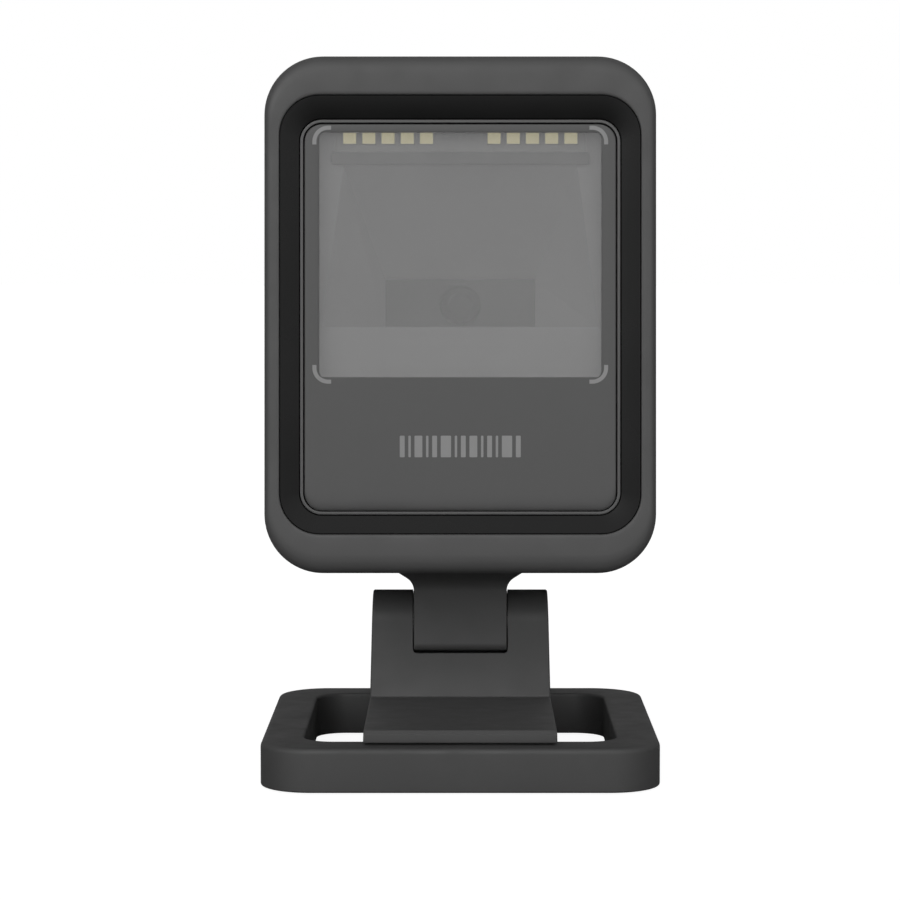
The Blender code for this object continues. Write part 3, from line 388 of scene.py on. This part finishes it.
# smoked acrylic of the light ring: nearly black, its gloss broken by a fine etch
smokedAcrylic = polished("smokedAcrylic", "#0c0c0c", (0.24, 0.34), 1.49, **{"Specular IOR Level": 0.15})
# screen-printed film over the face plate: an even satin grey
panelFilm = polished("screenPrintedFilm", "#484848", (0.36, 0.46), 1.50)
# satin paint on the thin rim: it catches one narrow line of light
rimPaint = polished("satinRimPaint", "#4a4a4a", (0.32, 0.42), 1.50)
# light grey screen ink of the marks: flat and dry
printInk = polished("screenPrintInk", "#888888", (0.45, 0.55), 1.50)
# hard-coated acrylic pane: a faint milky veil over what lies behind it
paneAcrylic = polished("hardCoatedAcrylic", "#a0a0a0", (0.05, 0.09), 1.49, smear=30, Alpha=0.36)
# front-silvered glass: it repeats the chamber, a little dusty
silveredGlass = polished("silveredGlass", "#b4b4b4", (0.04, 0.12), 1.50, Metallic=1.0)
# phosphor in clear resin: pale yellow, and it glows softly
lampResin = polished("phosphorResin", "#d2cba6", (0.25, 0.35), 1.53, smear=1,
                     **{"Emission Color": linear("#dcd29c"), "Emission Strength": 0.65})
# white polyamide round the phosphor: warm white, slightly waxy
lampBody = polished("whitePolyamide", "#c9c7bf", (0.40, 0.50), 1.53, smear=2)
# coated lens glass: dark, with a sharp blue-black shine
lensGlass = polished("coatedLensGlass", "#14181f", (0.02, 0.05), 1.52, **{"Coat Weight": 0.5})
# bare silicon under its cover glass: dark blue-grey
sensorDie = polished("sensorDie", "#2b3040", (0.10, 0.20), 1.60, smear=2)
# polyimide ribbon: amber film that looks like brown varnish
amberFilm = polished("polyimideFilm", "#a8702c", (0.25, 0.40), 1.60, smear=5)
# zinc-plated steel: bright grey with fine turning marks
zincPlate = platedMetal("zincPlatedSteel", "#c4c6c8", (0.22, 0.40))
# green resist on the logic boards, white resist on the lamps' board
glassEpoxy = boardLaminate("greenResistBoard", "#1f5b3c", "#1b5236", "#2f7a50")
whiteResist = boardLaminate("whiteResistBoard", "#a8a8a6", "#a2a2a0", "#b2b2b0")
print("materials:", len(bpy.data.materials))


# sizes in mm, in the head's own frame: middle is a height, face, front, back and parting are depths
head = dict(width=80.0, height=105.55, corner=12.0, bottom=11.95, wall=2.2, face=-50.9,
            faceEdge=2.5, faceWall=2.5, parting=-36.8, partingGap=0.3, backBottom=15.0, backTop=-8.0,
            backEdge=7.0)
headMiddle = head["bottom"] + head["height"] / 2
band = dict(width=73.6, height=89.4, corner=8.2, middle=64.65)
rim = dict(width=65.3, height=80.5, corner=4.5, middle=64.15, thickness=0.65, front=-49.7)
panel = dict(width=63.6, height=78.8, corner=3.6, middle=64.15, front=-49.3, thickness=1.2)
pane = dict(width=57.6, height=49.9, corner=1.1, middle=76.9, gap=0.02, flange=1.5, step=0.3, foot=1.0)
carrier = dict(front=-45.7, back=-44.5, gap=0.3, sideGap=0.8, beyond=6, opening=0.4)
coverScrews = [(x, z) for z in (20.5, 108.5) for x in (-29.0, 29.0)]
screwHole = dict(shank=1.5, head=2.8, seat=-14.0, deep=-40, beyond=25, post=4.0, postGap=0.05)
inlet = dict(half=6.8, low=21.7, high=30.3, beyond=30)
soundSlots = dict(count=5, width=18, height=1.4, corner=0.65, first=78, step=3.4, low=-12, high=20)


def headStation(inset, depth, ease=0.0):
    # the head's outline drawn in by inset, at a depth
    return (head["width"] - 2 * inset, head["height"] - 2 * inset, head["corner"] - inset, headMiddle,
            depth, ease)


def openingStation(size, grow, depth, ease=0.0):
    # any rounded rectangle of the face, spread by grow, at a depth
    return (size["width"] + 2 * grow, size["height"] + 2 * grow, size["corner"] + grow,
            size["middle"], depth, ease)


def backDepth(z):
    # the back slopes evenly from its bottom to its top
    share = (z / mm - head["bottom"]) / head["height"]
    return (head["backBottom"] + share * (head["backTop"] - head["backBottom"])) * mm


def makeBezel():
    # round the opening, over the rolled edge, back to the parting line and forward inside
    inner = head["face"] + head["faceWall"]
    bezel = faceSurface("bezel_shell", [
        openingStation(band, 0.0, head["face"], 0.35),
        headStation(0.0, head["face"], head["faceEdge"] * 1.25),
        headStation(0.0, head["parting"], 0.25),
        headStation(head["wall"], head["parting"], 0.2),
        headStation(head["wall"], inner, 0.6),
        openingStation(band, 0.0, inner, 0.1),
    ], perCorner=20)
    settle(bezel, "head", shellAbs, ["front_bezel"])


def coverPoints(inset, start, perCorner):
    # straight walls from the rim, then a quarter circle into the sloping back
    angle = np.concatenate([[0.0], np.radians(np.linspace(0, 90, 12))])
    radius = (head["backEdge"] - inset) * mm
    drawn = inset * mm + radius * (1 - np.cos(angle))
    x, z = loops(head["width"] * mm - 2 * drawn, head["height"] * mm - 2 * drawn,
                 head["corner"] * mm - drawn, headMiddle * mm + 0 * drawn, perCorner)
    reach = inset * mm + radius * (1 - np.sin(angle))
    y = backDepth(z) - reach.reshape(-1, 1)
    y[0] = start * mm
    return np.stack([x, y, z], axis=-1)


def coverTools():
    # the screws' stepped holes, the cable inlet's window and the beeper's slots
    tools = []
    h = screwHole
    for number, place in enumerate(coverScrews):
        for radius, low in ((h["shank"], h["deep"]), (h["head"], h["seat"])):
            peg = turnedPoints([(radius, low), (radius, h["beyond"])], place, "y", 40)
            tools.append(surface(f"peg{number}", headToWorld(peg), caps=True))
    window = boxPoints((-inlet["half"], 0, inlet["low"]), (inlet["half"], inlet["beyond"], inlet["high"]))
    tools.append(surface("inlet", headToWorld(window), caps=True))
    slot = soundSlots
    for number in range(slot["count"]):
        middle = (slot["first"] + slot["step"] * number) * mm
        x, z = loops([slot["width"] * mm] * 2, [slot["height"] * mm] * 2, [slot["corner"] * mm] * 2,
                     [middle] * 2, 8)
        y = np.array([slot["low"], slot["high"]]).reshape(-1, 1) * mm + 0 * x
        tools.append(surface(f"slot{number}", headToWorld(np.stack([x, y, z], axis=-1)), caps=True))
    return tools


def makeCover():
    # one skin out and one skin in, closed at the parting line, with the openings cut
    start = head["parting"] + head["partingGap"]
    outer = coverPoints(0.0, start, 20)
    inner = coverPoints(head["wall"], start, 20)
    cover = surface("cover_shell", headToWorld(np.concatenate([inner[::-1], outer])), caps=True)
    carve(cover, coverTools())
    settle(cover, "head", shellAbs, ["rear_cover"])
    # posts that carry the cover's screws, just clear of the shell's inner wall
    h = screwHole
    for number, (x, z) in enumerate(coverScrews, 1):
        deep = backDepth(z * mm) / mm - head["wall"] - h["postGap"]
        points = turnedPoints([(h["post"], start), (h["post"], deep), (h["head"], deep),
                               (h["head"], h["seat"]), (h["shank"], h["seat"]), (h["shank"], start)],
                              (x, z), "y", 40)
        post = surface(f"cover_post_{number}", headToWorld(points), wrapRows=True)
        settle(post, "head", shellAbs)


makeBezel()
makeCover()
print("shells done")


def makeLightRing():
    # a band that dips a little from the bezel towards the rim
    back = carrier["front"] - carrier["gap"]
    ring = faceSurface("light_band", [
        openingStation(band, -0.10, head["face"] + 0.45, 0.15),
        openingStation(rim, 0.12, head["face"] + 1.1, 0.15),
        openingStation(rim, 0.12, back),
        openingStation(band, -0.12, back),
    ], perCorner=18)
    settle(ring, "head", smokedAcrylic, ["light_ring"])


def makeCarrier():
    # a plate with the window's opening, and the thin rim that stands up from it
    plate = dict(width=head["width"] - 2 * head["wall"] - carrier["sideGap"],
                 height=band["height"] + carrier["beyond"], corner=band["corner"], middle=band["middle"])
    body = faceSurface("carrier_plate", [
        openingStation(pane, carrier["opening"], carrier["front"]),
        openingStation(rim, -rim["thickness"], carrier["front"]),
        openingStation(rim, -rim["thickness"], rim["front"], 0.1),
        openingStation(rim, 0.0, rim["front"], 0.22),
        openingStation(rim, 0.0, carrier["front"]),
        openingStation(plate, 0.0, carrier["front"], 0.1),
        openingStation(plate, 0.0, carrier["back"], 0.1),
        openingStation(pane, carrier["opening"], carrier["back"]),
    ], perCorner=16)
    settle(body, "head", rimPaint, ["window_frame"])


def makePanel():
    # a flat plate round the window, its outer edge eased
    back = panel["front"] + panel["thickness"]
    plate = faceSurface("face_plate", [
        openingStation(pane, 0.02, panel["front"], 0.05),
        openingStation(panel, 0.0, panel["front"], 0.35),
        openingStation(panel, 0.0, back),
        openingStation(pane, 0.02, back),
    ], perCorner=14)
    settle(plate, "head", panelFilm, ["face_panel"])


def makePane():
    # the pane stands flush in the plate, on a wider flange behind it
    step = panel["front"] + panel["thickness"] + pane["step"]
    glass = faceSurface("window_pane", [
        openingStation(pane, -pane["gap"], panel["front"], 0.12),
        openingStation(pane, -pane["gap"], step),
        openingStation(pane, pane["flange"], step),
        openingStation(pane, pane["flange"], step + pane["foot"]),
    ], closed=False, perCorner=14)
    settle(glass, "head", paneAcrylic, ["scan_window"])


# printed marks stand 0.03 mm off the panel, as a thick screen print does
marks = dict(proud=0.03, stroke=0.82, offset=0.92, radius=2.8, tail=0.6)


def makeCornerMarks():
    # a centre line of two short tails and a quarter circle, given its stroke's width
    r, tail, off = marks["radius"], marks["tail"], marks["offset"]
    bend = arc((0, 0), r, 0, 90, 20)
    line = np.concatenate([[[r, -tail]], bend, [[-tail, r]]])
    ahead = np.gradient(line, axis=0)
    ahead /= np.linalg.norm(ahead, axis=1, keepdims=True)
    side = np.stack([ahead[:, 1], -ahead[:, 0]], axis=1) * marks["stroke"] / 2
    cornerX = pane["width"] / 2 + off - r
    cornerZ = pane["height"] / 2 + off - r
    front = panel["front"] - marks["proud"]
    rings = []
    for across, depth in ((1, front), (-1, front), (-1, panel["front"]), (1, panel["front"])):
        edge = line + side * across
        rings.append(np.column_stack([edge[:, 0], np.full(len(edge), depth), edge[:, 1]]))
    section = np.stack(rings, axis=1)
    for number, (sx, sz) in enumerate(((1, 1), (-1, 1), (-1, -1), (1, -1)), 1):
        points = section.copy()
        points[..., 0] = sx * (points[..., 0] + cornerX)
        points[..., 2] = sz * (points[..., 2] + cornerZ) + pane["middle"]
        mark = surface(f"corner_mark_{number}", headToWorld(points * mm), caps=True)
        settle(mark, "head", printInk)


bars = dict(widths=(1.0, 0.5, 1.6, 0.5, 1.0, 2.1, 0.5, 1.0, 1.6, 0.5, 1.0, 0.5, 2.1, 1.0), space=0.75,
            height=4.4, corner=0.18, belowMiddle=26.9)


def makeBarPictogram():
    # a plain row of bars, the general sign for a code to be read
    widths, space = bars["widths"], bars["space"]
    x = -(sum(widths) + space * (len(widths) - 1)) / 2
    for number, width in enumerate(widths, 1):
        size = dict(width=width, height=bars["height"], corner=bars["corner"],
                    middle=headMiddle - bars["belowMiddle"])
        rows = [openingStation(size, 0.0, panel["front"] - marks["proud"]),
                openingStation(size, 0.0, panel["front"])]
        array = np.array(rows)[:, :5] * mm
        bx, bz = loops(*array[:, :4].T, 5)
        y = array[:, 4:] + 0 * bx
        points = np.stack([bx + (x + width / 2) * mm, y, bz], axis=-1)
        bar = surface(f"pictogram_bar_{number}", headToWorld(points), caps=True)
        settle(bar, "head", printInk)
        x += width + space


makeLightRing()
makeCarrier()
makePanel()
makePane()
makeCornerMarks()
makeBarPictogram()
print("face done")


# the lamps' row in mm: sole is where the phosphor's flat lies behind the front
lamps = dict(first=6.95, pitch=3.95, each=5, z=101.25, width=2.85, height=2.5, corner=0.2, front=-43.9,
             depth=0.9, lip=0.07, well=0.12, wellDepth=0.25, sole=0.2, solePlay=0.07)


def makeLamps():
    # a white housing with a well of yellow phosphor: rounded rectangles joined through its depth
    front = lamps["front"]
    body = dict(width=lamps["width"], height=lamps["height"], corner=lamps["corner"], middle=lamps["z"])
    rows = eased([
        openingStation(body, 0.0, front + lamps["depth"]),
        openingStation(body, 0.0, front, 0.05),
        openingStation(body, -lamps["lip"], front, 0.03),
        openingStation(body, -lamps["well"], front + lamps["wellDepth"]),
    ], closed=False) * mm
    lampX, lampZ = loops(*rows[:, :4].T, 5)
    lampY = rows[:, 4:] + 0 * lampX
    sole = Vector(headToWorld(np.array([[0, (front + lamps["sole"]) * mm, lamps["z"] * mm]]))[0])
    aim = Vector(headTurn[:, 1])
    for side, sign in (("left", -1), ("right", 1)):
        for number in range(lamps["each"]):
            x = sign * (lamps["first"] + number * lamps["pitch"])
            points = headToWorld(np.stack([lampX + x * mm, lampY, lampZ], axis=-1))
            lamp = surface(f"lamp_{side}_{number + 1}", points, caps=True)
            settle(lamp, "head", lampBody, [f"led_{side}_{number + 1}"])
            lamp.data.materials.append(lampResin)
            for face in lamp.data.polygons:
                inWell = abs((face.center - sole).dot(aim)) < lamps["solePlay"] * mm
                face.material_index = 1 if inWell and len(face.vertices) > 4 else 0


baffle = dict(width=53.0, height=2.6, corner=0.6, middle=97.0, front=-45.3, thickness=0.8, edge=0.4)


def makeBaffle():
    # a bar with rounded ends and edges
    bar = faceSurface("lamp_screen", [
        openingStation(baffle, 0.0, baffle["front"] + baffle["thickness"]),
        openingStation(baffle, 0.0, baffle["front"], 0.2),
        openingStation(baffle, -baffle["edge"], baffle["front"]),
    ], closed=False)
    # the bar's dark grey is painted shade, the shadow under the lamps' board
    settle(bar, "head", shadeStripAbs, ["lamp_baffle"])


makeLamps()
makeBaffle()

# pieces that keep their own solids and only take a finish
innerFinishes = {
    "optics_chamber": chamberAbs, "fold_mirror": silveredGlass, "led_board": whiteResist,
    "imager_board": glassEpoxy, "main_board": glassEpoxy, "inlet_board": glassEpoxy,
    "imager_housing": blackNylon, "lens_barrel": blackNylon, "beeper": blackNylon,
    "cable_socket": blackNylon, "lens_glass": lensGlass, "image_sensor": sensorDie,
    "imager_ribbon": amberFilm, "window_gasket": padRubber, "processor_shield": zincPlate,
}
for screw in ("hinge_bolt", "hinge_nut", "friction_washer_left", "friction_washer_right",
              "bracket_screw_left", "bracket_screw_right", "neck_screw_left", "neck_screw_right",
              "imager_screw_left", "imager_screw_right", "cover_screw_1", "cover_screw_2",
              "cover_screw_3", "cover_screw_4"):
    innerFinishes[screw] = zincPlate
for node, finish in innerFinishes.items():
    frame["nodes"][node].data.materials.clear()
    frame["nodes"][node].data.materials.append(finish)
print("inner pieces done")


# the neck's sizes in mm, in the hinge's frame
neckSize = dict(width=20.1, half=6.5, bottomCorner=1.7, top=11.5, flare=6.5, flareRadius=3.2,
                flareAngle=58, edge=0.25, screwX=6.5, screwHole=1.5, screwLow=4.6, screwHigh=14,
                collar=6.2, collarIn=9.0, collarOut=10.2, seat=5.0, seatIn=8.95, bore=2.3, boreHalf=15,
                beyond=20)


def makeNeck():
    # level sections: half depth follows the rounded bottom edge, stays straight, then spreads
    # along an arc and runs out straight to the head
    n = neckSize
    turnLow = np.radians(np.linspace(-90, 0, 16))
    turnHigh = np.radians(np.linspace(0, n["flareAngle"], 12))
    centre = n["half"] - n["bottomCorner"]
    spreadHigh = n["flareRadius"] * (1 - np.cos(turnHigh))
    zHigh = n["flare"] + n["flareRadius"] * np.sin(turnHigh)
    last = spreadHigh[-1] + (n["top"] - zHigh[-1]) * math.tan(turnHigh[-1])
    spread = np.concatenate([0 * turnLow, spreadHigh, [last]])
    z = np.concatenate([-centre + n["bottomCorner"] * np.sin(turnLow), zHigh, [n["top"]]])
    half = n["half"] + spread
    half[:len(turnLow)] = centre + n["bottomCorner"] * np.cos(turnLow)
    x, y = loops((n["width"] + 2 * spread) * mm, 2 * half * mm, (n["edge"] + spread) * mm, 0 * half, 8)
    points = np.stack([x, y, z.reshape(-1, 1) * mm + 0 * x], axis=-1)
    neck = surface("neck_moulding", neckToWorld(points), caps=True)
    # the washers' seats end in thin collars that stand nearly against the arms
    collars = []
    for low, high in ((-n["collarOut"], -n["collarIn"]), (n["collarIn"], n["collarOut"])):
        peg = turnedPoints([(n["collar"], low), (n["collar"], high)], (0, 0), "x")
        collars.append(surface("collar", neckToWorld(peg), caps=True))
    carve(neck, collars, "UNION")
    tools = []
    for radius, low, high in ((n["seat"], -n["beyond"], -n["seatIn"]), (n["seat"], n["seatIn"], n["beyond"]),
                              (n["bore"], -n["boreHalf"], n["boreHalf"])):
        peg = turnedPoints([(radius, low), (radius, high)], (0, 0), "x", 40)
        tools.append(surface("bore", neckToWorld(peg), caps=True))
    for x in (-n["screwX"], n["screwX"]):
        profile = [(n["screwHole"], n["screwLow"]), (n["screwHole"], n["screwHigh"])]
        peg = turnedPoints(profile, (x, 0), "z", 32)
        tools.append(surface("hole", neckToWorld(peg), caps=True))
    carve(neck, tools)
    settle(neck, "head", standAbs, ["neck"])


makeNeck()


# the stand's sizes in mm, in the world's own frame
base = dict(width=81.4, corner=10.5, bar=8.7, top=9.4, underside=0.3, holeCorner=6.5, footPlace=33.7,
            footRadius=3.2, footGap=0.3, footSeat=1.9, screwX=12.0, screwHole=1.5, screwHead=2.8,
            screwSeat=3.4)


def makeBaseRing():
    # level rounded squares joined round the bar: outside, over the top, down the hole
    b = base
    hole = b["width"] - 2 * b["bar"]
    rows = eased([
        (b["width"], b["width"], b["corner"], 0, b["underside"], 0.5),
        (b["width"], b["width"], b["corner"], 0, b["top"], 1.3),
        (hole, hole, b["holeCorner"], 0, b["top"], 0.7),
        (hole, hole, b["holeCorner"], 0, b["underside"], 0.3),
    ], steps=9) * mm
    x, y = loops(*rows[:, :4].T, 20)
    points = np.stack([x, y, rows[:, 4:] + 0 * x], axis=-1)
    ring = surface("ring_casting", points, wrapRows=True)
    tools = []
    for sx in (-1, 1):
        for sy in (-1, 1):
            place = (sx * b["footPlace"], sy * b["footPlace"])
            radius = b["footRadius"] + b["footGap"]
            recess = turnedPoints([(radius, -1), (radius, b["footSeat"])], place, "z")
            tools.append(surface("recess", recess, caps=True))
        for radius, high in ((b["screwHole"], 12), (b["screwHead"], b["screwSeat"])):
            place = (sx * b["screwX"], (b["width"] - b["bar"]) / 2)
            peg = turnedPoints([(radius, -1), (radius, high)], place, "z", 36)
            tools.append(surface("peg", peg, caps=True))
    carve(ring, tools)
    settle(ring, "stand", powderCoatedZinc, ["base_ring"])


def makeFeet():
    # a turned pad: radius and height from the sole's middle out, over two grip rings, to its top
    r = base["footRadius"]
    profile = [(0.0, 0.12), (0.7, 0.12), (0.9, 0.0), (1.3, 0.0), (1.5, 0.12), (1.9, 0.12),
               (2.1, 0.0), (2.7, 0.0), (r - 0.12, 0.06), (r, 0.3), (r, 1.6), (0.0, 1.6)]
    places = [(sx * base["footPlace"], sy * base["footPlace"]) for sy in (-1, 1) for sx in (-1, 1)]
    for number, place in enumerate(places, 1):
        pad = surface(f"grip_pad_{number}", turnedPoints(profile, place, "z"), smoothAngle=50)
        settle(pad, "stand", padRubber, [f"foot_pad_{number}"])


# arm is the round end's radius; nutIn and capIn are where the bolt's recesses begin
bracket = dict(width=39.25, topWidth=37.9, front=-36.9, rear=40.0, low=9.7, strap=12.3, padTop=13.9,
               padDepth=8.6, padSlope=1.6, lip=0.7, arm=6.5, slot=20.5, slotCorner=0.8, slotPlay=0.1,
               slotTall=30, slotHalf=12, bay=8.6, bayPlay=0.05, coreHalf=16, coreDepth=4, coreTop=18.2,
               bore=2.3, nut=3.3, nutIn=15.2, cap=4.15, capIn=17.6, beyond=25, edge=0.4)
key = dict(half=15, front=-31.4, rear=-28.4, low=5.0, gap=0.02, edge=0.3)


def makeBracket():
    # strap, upright and arms as one outline in side view, pushed across the width
    b = bracket
    hy, hz = hinge[1] / mm, hinge[2] / mm
    padFront = b["rear"] - b["padDepth"]
    outline = [(b["front"], b["low"]), (b["rear"], b["low"]), (b["rear"], b["padTop"]),
               (padFront, b["padTop"]), (padFront - b["padSlope"], b["strap"]),
               (hy + b["arm"], b["strap"])]
    outline += arc((hy, hz), b["arm"], 0, 180, 40).tolist()
    outline += [(hy - b["arm"], b["strap"]), (b["front"] + b["lip"], b["strap"]),
                (b["front"], b["strap"] - b["lip"])]
    points = prismPoints(outline, -b["width"] / 2, b["width"] / 2)
    # it loses width evenly from its underside to the arms' tops
    height = (points[..., 2] / mm - b["low"]) / (hz + b["arm"] - b["low"])
    points[..., 0] *= 1 - (1 - b["topWidth"] / b["width"]) * height
    moulding = surface("bracket_moulding", points, caps=True)
    soften(moulding, b["edge"])
    carve(moulding, bracketTools(hy, hz))
    settle(moulding, "stand", standAbs, ["stand_bracket"])
    # the tab that keys the strap into the ring's hole
    top = b["low"] - key["gap"]
    block = boxPoints((-key["half"], key["front"], key["low"]), (key["half"], key["rear"], top))
    tab = surface("strap_key", block, caps=True)
    soften(tab, key["edge"])
    settle(tab, "stand", standAbs)


def bracketTools(hy, hz):
    # the neck's slot and round bay, the hollow of the upright, the bolt's stepped bore, two screw holes
    b = bracket
    middle = (hz - b["arm"] - b["slotPlay"] + b["slotTall"] / 2) * mm
    x, z = loops([b["slot"] * mm] * 2, [b["slotTall"] * mm] * 2, [b["slotCorner"] * mm] * 2, [middle] * 2, 8)
    y = (np.array([hy - b["slotHalf"], hy + b["slotHalf"]]) * mm).reshape(-1, 1) + 0 * x
    tools = [surface("slot", np.stack([x, y, z], axis=-1), caps=True)]
    core = boxPoints((-b["coreHalf"], hy - b["coreDepth"], 8),
                     (b["coreHalf"], hy + b["coreDepth"], b["coreTop"]))
    tools.append(surface("core", core, caps=True))
    bayHalf = b["slot"] / 2 + b["bayPlay"]
    far = b["beyond"]
    for radius, start, end in ((b["bay"], -bayHalf, bayHalf), (b["bore"], -far, far),
                               (b["nut"], b["nutIn"], far), (b["nut"], -far, -b["nutIn"]),
                               (b["cap"], b["capIn"], far), (b["cap"], -far, -b["capIn"])):
        peg = turnedPoints([(radius, start), (radius, end)], (hy, hz), "x", 64)
        tools.append(surface("bore", peg, caps=True))
    for sign in (-1, 1):
        place = (sign * base["screwX"], (base["width"] - base["bar"]) / 2)
        hole = turnedPoints([(base["screwHole"], 8), (base["screwHole"], 12.2)], place, "z", 32)
        tools.append(surface("hole", hole, caps=True))
    return tools


def makePivotCaps():
    # a turned cap: radius and place along the hinge, a shallow dome with a ring groove
    hy, hz = hinge[1] / mm, hinge[2] / mm
    for side, sign in (("left", -1), ("right", 1)):
        profile = [(0.0, 17.9), (4.0, 17.9), (4.0, 18.65), (3.8, 18.85), (3.3, 18.9), (3.2, 18.8),
                   (3.0, 18.8), (2.9, 18.9), (1.5, 18.95), (0.0, 18.95)]
        points = turnedPoints([(r, sign * level) for r, level in profile], (hy, hz), "x")
        cap = surface(f"cap_{side}", points, smoothAngle=40)
        settle(cap, "stand", standAbs, [f"pivot_cap_{side}"])


makeBaseRing()
makeFeet()
makeBracket()
makePivotCaps()
print("stand done")


# the floor's grey and glow, the room's brightness where it is seen, behind and in front, the
# direction of its bright part in degrees, and the cosines at which that part ends and is full
studio = dict(floorHex="#8c8c8c", floorSize=8.0, floorGlow=0.92, seen=1.0, back=0.22, front=1.75,
              height=-2, side=-3, wide=0.10, narrow=0.97)


def towards(height, side):
    # the direction at a height and a side, in degrees, as seen from the object
    height, side = math.radians(height), math.radians(side)
    return Vector((math.sin(side) * math.cos(height), -math.cos(side) * math.cos(height),
                   math.sin(height)))


def paleFloor():
    # pale paper, lit from below as a light table is where the camera looks at it
    material, tree, shader = newMaterial("paleFloor")
    place = addNode(tree, "ShaderNodeTexCoord").outputs["Object"]
    soft = addNode(tree, "ShaderNodeTexNoise", {"Vector": place}, {"Scale": 1 / (120 * mm), "Detail": 2.0})
    colour = linear(studio["floorHex"])
    tone = addNode(tree, "ShaderNodeValToRGB", {"Fac": soft.outputs["Fac"]},
                   stops=[(noiseLow, scaled(colour, 0.98)), (noiseHigh, colour)])
    path = addNode(tree, "ShaderNodeLightPath")
    glow = addNode(tree, "ShaderNodeMath", {0: path.outputs["Is Camera Ray"]}, {1: studio["floorGlow"]},
                   operation="MULTIPLY")
    tree.links.new(tone.outputs["Color"], shader.inputs["Base Color"])
    tree.links.new(glow.outputs["Value"], shader.inputs["Emission Strength"])
    shader.inputs["Roughness"].default_value = 0.9
    shader.inputs["Specular IOR Level"].default_value = 0.2
    shader.inputs["Emission Color"].default_value = (1.0, 1.0, 1.0, 1.0)
    size = studio["floorSize"]
    mesh = bpy.data.meshes.new("floor")
    mesh.from_pydata([(-size, -size, 0), (size, -size, 0), (size, size, 0), (-size, size, 0)], [],
                     [(0, 1, 2, 3)])
    mesh.materials.append(material)
    floor = bpy.data.objects.new("floor", mesh)
    bpy.context.collection.objects.link(floor)


def paleRoom():
    # a white room, seen as plain white, that shines softly from in front of the object
    world = bpy.data.worlds.new("paleRoom")
    bpy.context.scene.world = world
    world.use_nodes = True
    tree = world.node_tree
    tree.nodes.clear()
    place = addNode(tree, "ShaderNodeTexCoord").outputs["Generated"]
    bright = towards(studio["height"], studio["side"])
    facing = addNode(tree, "ShaderNodeVectorMath", {0: place}, {1: bright}, operation="DOT_PRODUCT")
    dome = addNode(tree, "ShaderNodeMapRange", {"Value": facing.outputs["Value"]},
                   {"From Min": studio["wide"], "From Max": studio["narrow"], "To Min": studio["back"],
                    "To Max": studio["front"]}, interpolation_type="SMOOTHSTEP")
    path = addNode(tree, "ShaderNodeLightPath")
    strength = addNode(tree, "ShaderNodeMapRange",
                       {"Value": path.outputs["Is Camera Ray"], "To Min": dome.outputs["Result"]},
                       {"To Max": studio["seen"]})
    light = addNode(tree, "ShaderNodeBackground", {"Strength": strength.outputs["Result"]},
                    {"Color": (1.0, 1.0, 1.0, 1.0)})
    addNode(tree, "ShaderNodeOutputWorld", {"Surface": light.outputs["Background"]})


# one big soft lamp far away: height, side and softness in degrees, as seen from the object
keyLamp = dict(height=24, side=-28, softness=34, strength=0.3)


def lightStudio():
    lamp = bpy.data.lights.new("key_lamp", "SUN")
    lamp.energy = keyLamp["strength"]
    lamp.angle = math.radians(keyLamp["softness"])
    obj = bpy.data.objects.new("key_lamp", lamp)
    obj.rotation_euler = towards(keyLamp["height"], keyLamp["side"]).to_track_quat("Z", "Y").to_euler()
    bpy.context.collection.objects.link(obj)


# the camera stands in front, a little above the head's middle, and looks slightly down
viewer = dict(lens=116.2, sensor=36.0, y=-0.6169, z=0.1092, pitchDown=3.96, shift=-0.0114)


def placeCamera():
    data = bpy.data.cameras.new("camera")
    data.lens = viewer["lens"]
    data.sensor_width = viewer["sensor"]
    data.shift_x = viewer["shift"]
    data.clip_start = 0.01
    camera = bpy.data.objects.new("camera", data)
    camera.location = (0, viewer["y"], viewer["z"])
    camera.rotation_euler = (math.radians(90 - viewer["pitchDown"]), 0, 0)
    bpy.context.collection.objects.link(camera)
    bpy.context.scene.camera = camera


paleFloor()
paleRoom()
lightStudio()
placeCamera()
bpy.context.scene.view_settings.view_transform = "Standard"
print("studio done")
